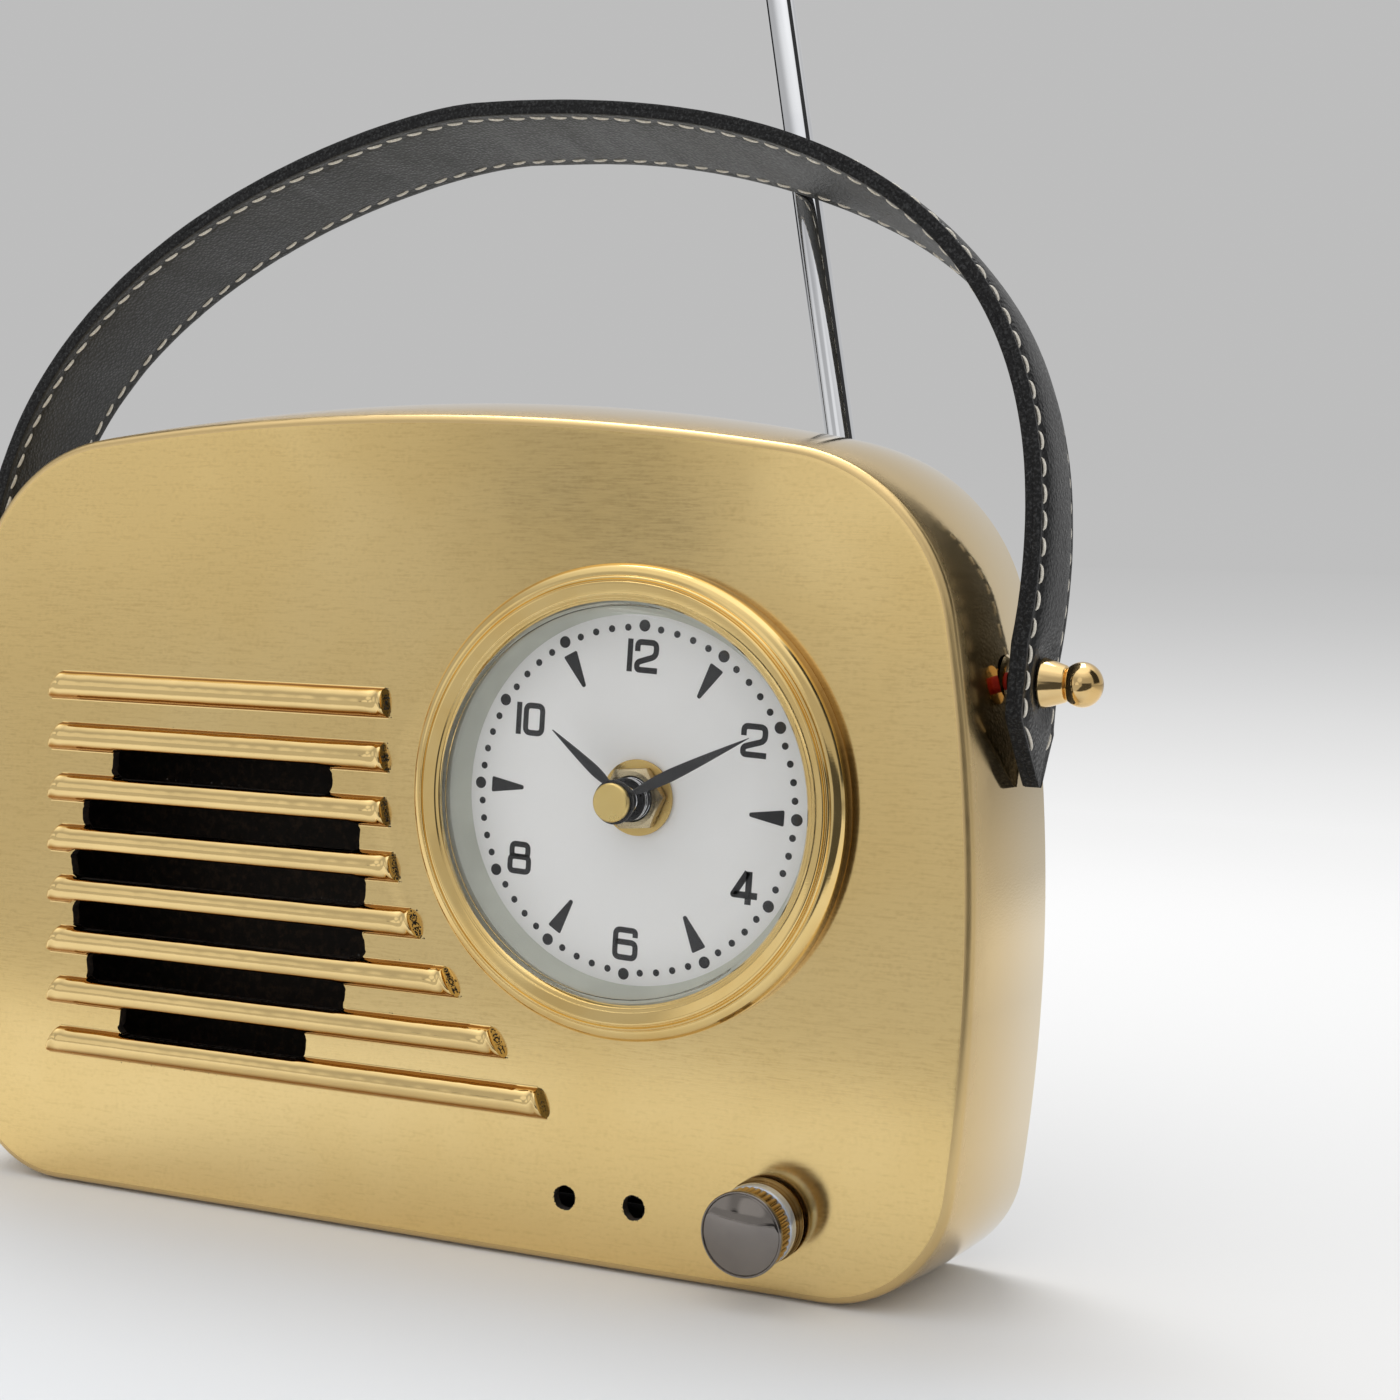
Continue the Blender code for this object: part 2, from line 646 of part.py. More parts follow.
def add_dial_stack(brass, glass, dial, plastic):
    at = (DIAL_X, DIAL_HEIGHT)
    crest = BEZEL_CREST
    flange_top = GLASS_FLANGE_HEIGHT + GLASS_THICKNESS
    lip = flange_top + GAP
    band = BEZEL_RADIUS - BEZEL_LIP_RADIUS
    shares = (
        (1.00, 0.58), (0.90, 0.74), (0.68, 0.84), (0.60, 0.95), (0.54, 0.86), (0.48, 1.00),
        (0.17, 0.90), (0.07, 0.88),
    )
    profile = [(BEZEL_RADIUS, GAP)]
    profile += [(BEZEL_LIP_RADIUS + a * band, b * crest) for a, b in shares]
    profile += [
        (BEZEL_LIP_RADIUS, lip + BEZEL_LIP_THICKNESS), (BEZEL_LIP_RADIUS, lip),
        (BEZEL_BORE_RADIUS, lip), (BEZEL_BORE_RADIUS, -BEZEL_TUBE_DEPTH),
        (BEZEL_TUBE_RADIUS, -BEZEL_TUBE_DEPTH), (BEZEL_TUBE_RADIUS, GAP),
    ]
    add_front_turned("bezel", profile, brass, at)

    bulge = BEZEL_LIP_RADIUS - GAP
    outer = [(GLASS_RADIUS, GLASS_FLANGE_HEIGHT), (GLASS_RADIUS, flange_top)]
    outer += dome(bulge, flange_top, GLASS_APEX)
    inner = dome(bulge - GLASS_THICKNESS, GLASS_FLANGE_HEIGHT, GLASS_APEX - GLASS_THICKNESS)
    add_front_turned("crystal", outer + inner[::-1], glass, at)

    ring_top = GLASS_FLANGE_HEIGHT - GAP
    add_front_turned(
        "dial_ring",
        ring_profile(DIAL_RADIUS - DIAL_RING_WIDTH, DIAL_RADIUS, -DIAL_RECESS + GAP, ring_top),
        plastic, at,
    )
    back = -DIAL_RECESS - DIAL_THICKNESS
    plate = add_object(
        "dial_plate", prism(circle(DIAL_RADIUS, ROUND), back, -DIAL_RECESS), dial,
        front_place(*at), FRONT_VIEW,
    )
    hole = prism(circle(BUSH_RADIUS + GAP), back - OVERRUN, -DIAL_RECESS + OVERRUN)
    shape_with(plate, "DIFFERENCE", hole, front_place(SHAFT_X, SHAFT_HEIGHT), FRONT_VIEW)
    top = back - GAP
    add_front_turned(
        "dial_retainer",
        ring_profile(DIAL_RADIUS - RETAINER_WIDTH, DIAL_RADIUS, top - RETAINER_THICKNESS, top),
        brass, at, MEDIUM_ROUND,
    )


def ring_profile(inner, outer, low, high):
    return ((inner, low), (outer, low), (outer, high), (inner, high))


def shaft_levels():
    """Heights above the face of the pieces on the shaft, from the dial forwards."""
    levels = {"washer": -DIAL_RECESS + GAP}
    levels["nut"] = levels["washer"] + WASHER_THICKNESS + GAP
    levels["bush"] = levels["nut"] + NUT_THICKNESS + BUSH_PROUD
    levels["hour_hand"] = levels["bush"] + GAP
    levels["minute_hand"] = levels["hour_hand"] + HAND_THICKNESS + HAND_SPACING
    levels["cap"] = levels["minute_hand"] + HAND_THICKNESS + GAP
    return levels


def wheel_levels():
    """Heights of the motion work, which lies behind the front wall of the movement."""
    flange = -CASE_FRONT - MOVEMENT_WALL - GAP
    hour = flange - BUSH_FLANGE_THICKNESS - GAP
    minute = hour - WHEEL_THICKNESS - WHEEL_SPACING
    plate = minute - WHEEL_THICKNESS - GAP
    return flange, hour, minute, plate


def add_shaft_hardware(brass, steel, rubber):
    levels = shaft_levels()
    at = (SHAFT_X, SHAFT_HEIGHT)
    bore = BUSH_RADIUS + GAP
    washer = ring_profile(bore, WASHER_RADIUS, levels["washer"], levels["washer"] + WASHER_THICKNESS)
    add_front_turned("shaft_washer", washer, brass, at, MEDIUM_ROUND)
    nut = add_object(
        "shaft_nut",
        prism(hexagon(NUT_ACROSS_FLATS, NUT_TURN), levels["nut"], levels["nut"] + NUT_THICKNESS),
        brass, front_place(*at), FRONT_VIEW,
    )
    hole = prism(circle(bore, MEDIUM_ROUND), levels["washer"], levels["bush"] + OVERRUN)
    shape_with(nut, "DIFFERENCE", hole, front_place(*at), FRONT_VIEW)
    flange, hour, _, _ = wheel_levels()
    inner = BUSH_RADIUS - BUSH_WALL
    bush = (
        (inner, flange - BUSH_FLANGE_THICKNESS), (BUSH_FLANGE_RADIUS, flange - BUSH_FLANGE_THICKNESS),
        (BUSH_FLANGE_RADIUS, flange), (BUSH_RADIUS, flange), (BUSH_RADIUS, levels["bush"]),
        (inner, levels["bush"]),
    )
    add_front_turned("shaft_bush", bush, steel, at, MEDIUM_ROUND)
    dial_rear = -DIAL_RECESS - DIAL_THICKNESS - GAP
    gasket = ring_profile(bore, GASKET_RADIUS, -CASE_FRONT + GAP, dial_rear)
    add_front_turned("movement_gasket", gasket, rubber, at, SMALL_ROUND)


def gear_outline(teeth, module, tooth_angle):
    """Outline of a gear with one tooth centred on a clock angle."""
    pitch = math.tau / teeth
    root = module * (teeth / 2 - DEDENDUM_SHARE)
    tip = module * (teeth / 2 + ADDENDUM_SHARE)
    flank = ((TOOTH_ROOT_SHARE, root), (0.0, tip), (-TOOTH_ROOT_SHARE, root))
    return [
        clock_point(radius, tooth_angle - pitch * k + pitch * share)
        for k in range(teeth)
        for share, radius in flank
    ]


def hand_outline(length, width, hub_radius):
    """A tapered hand pointing to twelve, with a round hub."""
    gap = math.asin(HAND_ROOT_WIDTH / 2 / hub_radius)
    hub = [clock_point(hub_radius, gap + (math.tau - 2 * gap) * i / 16) for i in range(17)]
    widest = length * HAND_WIDEST_SHARE
    blade = [(-width / 2, widest), (0.0, length), (width / 2, widest)]
    return hub + blade


def add_hands_and_motion_work(black, brass, nylon):
    levels = shaft_levels()
    _, hour_level, minute_level, plate_level = wheel_levels()
    shaft = front_place(SHAFT_X, SHAFT_HEIGHT)
    minute_pivot = add_pivot("minute_pivot", shaft, FRONT_VIEW)
    hour_pivot = add_pivot("hour_pivot", shaft, FRONT_VIEW)

    cap_top = levels["cap"] + CAP_LENGTH
    bore_top = levels["cap"] + CAP_BORE_DEPTH
    cap_bore = MINUTE_ARBOR_RADIUS + GAP
    cap = (
        (0, bore_top), (cap_bore, bore_top), (cap_bore, levels["cap"]), (CAP_RADIUS, levels["cap"]),
        (CAP_RADIUS, cap_top - CAP_EDGE), (CAP_RADIUS - CAP_EDGE, cap_top), (0, cap_top),
    )
    add_front_turned("shaft_cap", cap, brass, (), MEDIUM_ROUND, minute_pivot)

    arbor_low = plate_level - MID_PLATE_THICKNESS - GAP
    arbor = prism(circle(MINUTE_ARBOR_RADIUS, SMALL_ROUND), arbor_low, bore_top - GAP)
    cannon = add_object("minute_arbor", arbor, brass, parent=minute_pivot)
    pinion = prism(
        gear_outline(CANNON_TEETH, MINUTE_MODULE, MOTION_ANGLE),
        minute_level - WHEEL_THICKNESS, minute_level,
    )
    shape_with(cannon, "UNION", pinion, parent=minute_pivot)

    tube_top = levels["hour_hand"] + HAND_THICKNESS + HOUR_TUBE_PROUD
    tube_low = hour_level - WHEEL_THICKNESS / 2
    tube = ring_profile(HOUR_TUBE_BORE_RADIUS, HOUR_TUBE_RADIUS, tube_low, tube_top)
    wheel = add_object("hour_wheel", turned(tube, SMALL_ROUND), nylon, parent=hour_pivot)
    half_tooth = math.pi / HOUR_WHEEL_TEETH
    teeth = gear_outline(HOUR_WHEEL_TEETH, HOUR_MODULE, MOTION_ANGLE + half_tooth)
    shape_with(wheel, "UNION", prism(teeth, hour_level - WHEEL_THICKNESS, hour_level), parent=hour_pivot)
    bore = prism(circle(HOUR_TUBE_BORE_RADIUS), hour_level - 2 * WHEEL_THICKNESS, tube_top + OVERRUN)
    shape_with(wheel, "DIFFERENCE", bore, parent=hour_pivot)

    hands = {
        "hour_hand": (HOUR_HAND_LENGTH, HOUR_HAND_WIDTH, HOUR_TUBE_RADIUS, HOUR_ANGLE, hour_pivot),
        "minute_hand": (
            MINUTE_HAND_LENGTH, MINUTE_HAND_WIDTH, MINUTE_ARBOR_RADIUS, MINUTE_ANGLE, minute_pivot
        ),
    }
    for name, (length, width, bore_radius, angle, pivot) in hands.items():
        low, high = levels[name], levels[name] + HAND_THICKNESS
        blade = prism(hand_outline(length, width, HAND_HUB_RADIUS), low, high)
        hand = add_object(name, blade, black, (0, 0, 0), (0, 0, -angle), pivot)
        hole = prism(circle(bore_radius + GAP), low - OVERRUN, high + OVERRUN)
        shape_with(hand, "DIFFERENCE", hole, parent=pivot)

    step_x, step_height = clock_point(MOTION_DISTANCE, MOTION_ANGLE)
    wheel_pivot = add_pivot(
        "minute_wheel_pivot", front_place(SHAFT_X + step_x, SHAFT_HEIGHT + step_height), FRONT_VIEW
    )
    wheel_angle = MOTION_ANGLE + math.pi + math.pi / MINUTE_WHEEL_TEETH
    disc = prism(
        gear_outline(MINUTE_WHEEL_TEETH, MINUTE_MODULE, wheel_angle),
        minute_level - WHEEL_THICKNESS, minute_level,
    )
    wheel = add_object("minute_wheel", disc, nylon, parent=wheel_pivot)
    pinion = prism(
        gear_outline(MINUTE_PINION_TEETH, HOUR_MODULE, MOTION_ANGLE + math.pi),
        minute_level - WHEEL_THICKNESS / 2, hour_level,
    )
    shape_with(wheel, "UNION", pinion, parent=wheel_pivot)
    front_wall = -CASE_FRONT - MOVEMENT_WALL
    pivots = prism(circle(PIVOT_RADIUS, TINY_ROUND), plate_level - PIVOT_SINK, front_wall + PIVOT_SINK)
    shape_with(wheel, "UNION", pivots, parent=wheel_pivot)

    setting_pivot = add_pivot(
        "setting_pivot",
        front_place(SHAFT_X + 2 * step_x, SHAFT_HEIGHT + 2 * step_height), FRONT_VIEW,
    )
    knob_front = -CASE_REAR - GAP
    knob_rear = knob_front - SETTING_KNOB_LENGTH
    profile = (
        (0, knob_rear), (SETTING_KNOB_RADIUS, knob_rear), (SETTING_KNOB_RADIUS, knob_front),
        (SETTING_ARBOR_RADIUS, knob_front), (SETTING_ARBOR_RADIUS, minute_level + GAP),
        (PIVOT_RADIUS, minute_level + GAP), (PIVOT_RADIUS, front_wall + PIVOT_SINK),
        (0, front_wall + PIVOT_SINK),
    )
    knob = add_object("setting_knob", turned(profile, SMALL_ROUND), nylon, parent=setting_pivot)
    pinion = prism(
        gear_outline(CANNON_TEETH, MINUTE_MODULE, MOTION_ANGLE + math.pi),
        minute_level - WHEEL_THICKNESS, minute_level,
    )
    shape_with(knob, "UNION", pinion, parent=setting_pivot)


def add_movement(black, brass, steel, green, copper):
    at = front_place(SHAFT_X, SHAFT_HEIGHT)
    half_height = MOVEMENT_HEIGHT / 2
    wall = MOVEMENT_WALL
    rear = -CASE_REAR + wall + GAP
    outline = rounded_box(MOVEMENT_WIDTH, MOVEMENT_HEIGHT, MOVEMENT_CORNER)
    case = add_object("movement_case", prism(outline, rear, -CASE_FRONT), black, at, FRONT_VIEW)
    _, _, _, plate_level = wheel_levels()
    floor = -CASE_FRONT - wall
    step_x, step_height = clock_point(MOTION_DISTANCE, MOTION_ANGLE)

    cavities = bmesh.new()
    inner_width = MOVEMENT_WIDTH - 2 * wall
    inner_half = half_height - wall
    corner = MOVEMENT_CORNER - wall
    top_height = inner_half + PARTITION_DROP
    chamber_centre = (0, inner_half - top_height / 2)
    chamber = rounded_box(inner_width, top_height, corner, chamber_centre, wall)
    prism(chamber, rear - OVERRUN, floor, cavities)
    bay_height = inner_half - PARTITION_DROP - wall
    bay_centre = (0, -inner_half + bay_height / 2)
    bay = rounded_box(inner_width, bay_height, wall, bay_centre, corner)
    prism(bay, rear - OVERRUN, floor, cavities)
    shape_with(case, "DIFFERENCE", cavities, at, FRONT_VIEW)
    holes = bmesh.new()
    prism(circle(BUSH_RADIUS + GAP), floor - OVERRUN, -CASE_FRONT + OVERRUN, holes)
    for times in (1, 2):
        place = (times * step_x, times * step_height)
        prism(circle(PIVOT_RADIUS + GAP, TINY_ROUND, place), floor - OVERRUN, floor + PIVOT_SINK + GAP, holes)
    shape_with(case, "DIFFERENCE", holes, at, FRONT_VIEW)

    plate_outline = rounded_box(
        inner_width - 2 * GAP, top_height - 2 * GAP, corner, chamber_centre, wall
    )
    plate = add_object(
        "train_plate", prism(plate_outline, plate_level - MID_PLATE_THICKNESS, plate_level),
        steel, at, FRONT_VIEW,
    )
    holes = bmesh.new()
    low, high = plate_level - MID_PLATE_THICKNESS - OVERRUN, plate_level + OVERRUN
    prism(circle(MINUTE_ARBOR_RADIUS + GAP, SMALL_ROUND), low, high, holes)
    prism(circle(PIVOT_RADIUS + GAP, TINY_ROUND, (step_x, step_height)), low, high, holes)
    setting_place = (2 * step_x, 2 * step_height)
    prism(circle(SETTING_ARBOR_RADIUS + GAP, TINY_ROUND, setting_place), low, high, holes)
    shape_with(plate, "DIFFERENCE", holes, at, FRONT_VIEW)

    cover_low = -PARTITION_DROP - wall
    cover_height = half_height - cover_low
    cover_outline = rounded_box(
        MOVEMENT_WIDTH, cover_height, MOVEMENT_CORNER, (0, cover_low + cover_height / 2), wall
    )
    cover = add_object(
        "movement_cover", prism(cover_outline, -CASE_REAR, -CASE_REAR + wall), black, at, FRONT_VIEW
    )
    hole = prism(
        circle(SETTING_ARBOR_RADIUS + GAP, TINY_ROUND, setting_place),
        -CASE_REAR - OVERRUN, -CASE_REAR + wall + OVERRUN,
    )
    shape_with(cover, "DIFFERENCE", hole, at, FRONT_VIEW)

    battery_height = -PARTITION_DROP - wall - GAP - BATTERY_RADIUS
    battery_depth = floor - GAP - BATTERY_RADIUS
    half_length = BATTERY_LENGTH / 2
    body_end = half_length - BATTERY_BUTTON_LENGTH
    profile = (
        (0, -half_length), (BATTERY_RADIUS, -half_length), (BATTERY_RADIUS, body_end),
        (BATTERY_BUTTON_RADIUS, body_end), (BATTERY_BUTTON_RADIUS, half_length), (0, half_length),
    )
    place = front_place(SHAFT_X, SHAFT_HEIGHT + battery_height, -battery_depth)
    add_object("battery", turned(profile, MEDIUM_ROUND), steel, place, (0, math.pi / 2, 0))
    near = half_length + GAP
    half_width = CONTACT_WIDTH / 2
    for name, low_x in (("contact_plus", near), ("contact_minus", -near - CONTACT_THICKNESS)):
        low = (low_x, battery_height - half_width, battery_depth - half_width)
        high = (low_x + CONTACT_THICKNESS, battery_height + half_width, battery_depth + half_width)
        add_object(name, box(low, high), brass, at, FRONT_VIEW)
    add_electrics(plate_level - MID_PLATE_THICKNESS, steel, green, copper)


def add_electrics(plate_rear, steel, green, copper):
    """Circuit board, stator, coil and rotor, on the rear side of the train plate."""
    at = front_place(SHAFT_X, SHAFT_HEIGHT)
    seat = plate_rear - GAP
    board = box(
        (-BOARD_WIDTH / 2, BOARD_RISE - BOARD_HEIGHT / 2, seat - BOARD_THICKNESS),
        (BOARD_WIDTH / 2, BOARD_RISE + BOARD_HEIGHT / 2, seat),
    )
    add_object("circuit_board", board, green, at, FRONT_VIEW)
    low = seat - STATOR_THICKNESS
    stator = box(
        (STATOR_X - STATOR_WIDTH / 2, STATOR_RISE - STATOR_HEIGHT / 2, low),
        (STATOR_X + STATOR_WIDTH / 2, STATOR_RISE + STATOR_HEIGHT / 2, seat),
    )
    stator_plate = add_object("stator", stator, steel, at, FRONT_VIEW)
    rotor_place = (ROTOR_X, STATOR_RISE)
    hole = prism(circle(ROTOR_RADIUS + GAP, SMALL_ROUND, rotor_place), low - OVERRUN, seat + OVERRUN)
    shape_with(stator_plate, "DIFFERENCE", hole, at, FRONT_VIEW)

    half = COIL_LENGTH / 2
    cheek = COIL_CHEEK_THICKNESS
    waist = COIL_RADIUS - cheek
    profile = (
        (0, -half), (COIL_RADIUS, -half), (COIL_RADIUS, cheek - half), (waist, cheek - half),
        (waist, half - cheek), (COIL_RADIUS, half - cheek), (COIL_RADIUS, half), (0, half),
    )
    coil_depth = -(low - GAP - COIL_RADIUS)
    place = front_place(SHAFT_X + COIL_X, SHAFT_HEIGHT + STATOR_RISE, coil_depth)
    add_object("coil", turned(profile, TINY_ROUND), copper, place, (0, math.pi / 2, 0))

    pivot = add_pivot(
        "rotor_pivot", front_place(SHAFT_X + ROTOR_X, SHAFT_HEIGHT + STATOR_RISE), FRONT_VIEW
    )
    top = seat
    bottom = top - ROTOR_LENGTH
    cover = -CASE_REAR + MOVEMENT_WALL
    profile = (
        (0, cover + GAP), (PIVOT_RADIUS, cover + GAP), (PIVOT_RADIUS, bottom - ROTOR_LENGTH),
        (ROTOR_PINION_RADIUS, bottom - ROTOR_LENGTH), (ROTOR_PINION_RADIUS, bottom),
        (ROTOR_RADIUS, bottom), (ROTOR_RADIUS, top), (0, top),
    )
    add_object("rotor", turned(profile, TINY_ROUND), steel, parent=pivot)


def add_stud(side, brass, steel, fibre):
    """A ball stud, with its spacer outside the wall and its nut inside."""
    name = "right" if side > 0 else "left"
    centre = front_place(0, STUD_HEIGHT, STUD_DEPTH)
    turn = (0, side * math.pi / 2, 0)
    wall_x = side_x(STUD_HEIGHT, STUD_DEPTH)
    boss_face = wall_x + STUD_BOSS_PROUD
    strap_inner = strap_stud_x() - STRAP_THICKNESS / 2
    strap_outer = strap_stud_x() + STRAP_THICKNESS / 2
    bore = STUD_SHANK_RADIUS + GAP
    spacer = ring_profile(bore, SPACER_RADIUS, boss_face + GAP, strap_inner - GAP)
    add_object(f"spacer_{name}", turned(spacer, SMALL_ROUND), fibre, centre, turn)

    seat = strap_outer + GAP
    ball = strap_outer + STUD_BALL_REACH
    neck_angle = math.asin(STUD_NECK_RADIUS / STUD_BALL_RADIUS)
    sphere = arc((0, ball), STUD_BALL_RADIUS, -math.pi / 2 + neck_angle, math.pi / 2, 7)
    nut_outer = wall_x - SIDE_WALL - STUD_BOSS_PROUD - GAP
    inner_end = nut_outer - STUD_NUT_THICKNESS - GAP
    profile = [
        (0, inner_end), (STUD_SHANK_RADIUS, inner_end), (STUD_SHANK_RADIUS, seat),
        (STUD_CONE_RADIUS, seat), (STUD_CONE_RADIUS, seat + CAP_EDGE), *sphere[:-1], (0, sphere[-1][1]),
    ]
    add_object(f"ball_stud_{name}", turned(profile, SMALL_ROUND), brass, centre, turn)

    nut = add_object(
        f"stud_nut_{name}",
        prism(hexagon(STUD_NUT_ACROSS_FLATS), nut_outer - STUD_NUT_THICKNESS, nut_outer),
        steel, centre, turn,
    )
    hole = prism(circle(bore, SMALL_ROUND), inner_end - OVERRUN, nut_outer + OVERRUN)
    shape_with(nut, "DIFFERENCE", hole, centre, turn)


def strap_line():
    """Middle of the strap's thickness on the handle's plane, from the left tip to the right tip."""
    line = []
    stud_x = strap_stud_x()
    for side, crown_pull, leg_pull in zip((-1, 1), STRAP_CROWN_PULLS, STRAP_LEG_PULLS):
        crown = Vector((STRAP_CROWN_SHIFT, STRAP_RISE))
        shoulder = crown + Vector((side * crown_pull, 0))
        foot = Vector((side * stud_x, STRAP_FLAT))
        leg = foot + Vector((side * STRAP_LEG_BULGE, leg_pull - STRAP_FLAT))
        drops = (STRAP_TIP_DROP, STRAP_TIP_DROP - STRAP_TAPER, STRAP_FLAT)
        half = [Vector((side * stud_x, -drop)) for drop in drops]
        for step in range(STRAP_STATIONS + 1):
            t = step / STRAP_STATIONS
            half.append(
                (1 - t) ** 3 * foot + 3 * (1 - t) ** 2 * t * leg
                + 3 * (1 - t) * t**2 * shoulder + t**3 * crown
            )
        line += half if side < 0 else reversed(half[:-1])
    return line


def strap_layer(inner, outer):
    """A layer of the strap between two offsets from its middle, with pointed ends."""
    bm = bmesh.new()
    rings = []
    line = strap_line()
    for i, point in enumerate(line):
        ahead, back = line[min(i + 1, len(line) - 1)], line[max(i - 1, 0)]
        tangent = (ahead - back).normalized()
        normal = Vector((-tangent.y, 0, tangent.x))
        at_tip = i in (0, len(line) - 1)
        half = (STRAP_TIP_WIDTH if at_tip else STRAP_WIDTH) / 2
        middle = Vector((point.x, 0, point.y))
        corners = ((inner, -half), (inner, half), (outer, half), (outer, -half))
        ring = [bm.verts.new(middle + normal * off + Vector((0, across, 0))) for off, across in corners]
        rings.append(ring)
    for first, second in zip(rings, rings[1:]):
        bridge(bm, first, second)
    bm.faces.new(rings[0])
    bm.faces.new(rings[-1])
    return bm


def add_strap(leather, lining):
    pivot = add_pivot(
        "handle_pivot", front_place(0, STUD_HEIGHT, STUD_DEPTH), (-HANDLE_LEAN, 0, 0)
    )
    half_gap = GAP / 2
    edges = {
        "strap_outer": (half_gap, half_gap + STRAP_LAYER, leather),
        "strap_lining": (-half_gap - STRAP_LAYER, -half_gap, lining),
    }
    for name, (inner, outer, material) in edges.items():
        layer = add_object(name, strap_layer(inner, outer), material, parent=pivot)
        hole = prism(circle(STUD_SHANK_RADIUS + GAP, SMALL_ROUND), -BODY_WIDTH, BODY_WIDTH)
        shape_with(layer, "DIFFERENCE", hole, (0, 0, 0), (0, math.pi / 2, 0), pivot)


def add_knob(nickel, brass, chrome, steel):
    """The front knob: base, collar, knurled band and cap on one shaft that turns in a bush."""
    pivot = add_pivot("knob_pivot", front_place(KNOB_X, KNOB_HEIGHT), FRONT_VIEW)
    base = 2 * GAP + KNOB_BUSH_FLANGE
    collar = base + KNOB_BASE_LENGTH + GAP
    band = collar + KNOB_COLLAR_LENGTH + GAP
    cap = band + KNOB_BAND_LENGTH + GAP
    bore = KNOB_SHAFT_RADIUS + GAP
    step = KNOB_RIM / 3
    base_profile = (
        (bore, base), (KNOB_RADIUS, base), (KNOB_RADIUS, base + KNOB_BASE_LENGTH / 3),
        (KNOB_RADIUS - step, base + KNOB_BASE_LENGTH / 2),
        (KNOB_RADIUS - step, collar - GAP), (bore, collar - GAP),
    )
    add_front_turned("knob_base", base_profile, brass, (), MEDIUM_ROUND, pivot)
    collar_edge = KNOB_RADIUS - step
    collar_profile = (
        (bore, collar), (collar_edge - step, collar), (collar_edge, collar + KNOB_COLLAR_LENGTH / 4),
        (collar_edge, band - GAP - KNOB_COLLAR_LENGTH / 4), (collar_edge - step, band - GAP),
        (bore, band - GAP),
    )
    add_front_turned("knob_collar", collar_profile, chrome, (), MEDIUM_ROUND, pivot)
    flutes = []
    for i in range(2 * KNOB_FLUTES):
        radius = KNOB_RADIUS - step / 2 - (i % 2) * KNOB_FLUTE_DEPTH
        flutes.append(clock_point(radius, -math.pi * i / KNOB_FLUTES))
    knurled = add_object("knob_band", prism(flutes, band, cap - GAP), brass, parent=pivot)
    hole = prism(circle(bore), band - OVERRUN, cap + OVERRUN)
    shape_with(knurled, "DIFFERENCE", hole, parent=pivot)
    top = cap + KNOB_CAP_LENGTH
    inner = KNOB_RADIUS - KNOB_RIM
    dome_shares = ((1.0, 0.0), (0.72, 0.48), (0.40, 0.84), (0.0, 1.0))
    shaft_top = cap + KNOB_CAP_LENGTH / 2
    cap_profile = [
        (0, shaft_top + GAP), (bore, shaft_top + GAP), (bore, cap), (KNOB_RADIUS - step, cap),
        (KNOB_RADIUS, cap + KNOB_CAP_LENGTH / 3), (KNOB_RADIUS, top - step), (KNOB_RADIUS - step, top),
        *[(inner * a, top - step + (KNOB_DOME + step) * b) for a, b in dome_shares],
    ]
    add_front_turned("knob_cap", cap_profile, nickel, (), MEDIUM_ROUND, pivot)
    shaft_low = -FACE_WALL - KNOB_BUSH_LENGTH
    shaft = prism(circle(KNOB_SHAFT_RADIUS), shaft_low, shaft_top)
    add_object("knob_shaft", shaft, steel, parent=pivot)

    at = (KNOB_X, KNOB_HEIGHT)
    bush_low = -FACE_WALL - KNOB_BUSH_LENGTH / 2
    flange = KNOB_RADIUS - KNOB_RIM
    bush_profile = (
        (bore, bush_low), (KNOB_BUSH_RADIUS, bush_low), (KNOB_BUSH_RADIUS, GAP),
        (flange, GAP), (flange, GAP + KNOB_BUSH_FLANGE), (bore, GAP + KNOB_BUSH_FLANGE),
    )
    add_front_turned("knob_bush", bush_profile, brass, at, MEDIUM_ROUND)
    nut_high = -FACE_WALL - GAP
    nut = add_object(
        "knob_nut", prism(hexagon(KNOB_NUT_ACROSS_FLATS), nut_high - KNOB_NUT_THICKNESS, nut_high),
        steel, front_place(*at), FRONT_VIEW,
    )
    hole = prism(circle(KNOB_BUSH_RADIUS + GAP), bush_low - OVERRUN, nut_high + OVERRUN)
    shape_with(nut, "DIFFERENCE", hole, front_place(*at), FRONT_VIEW)


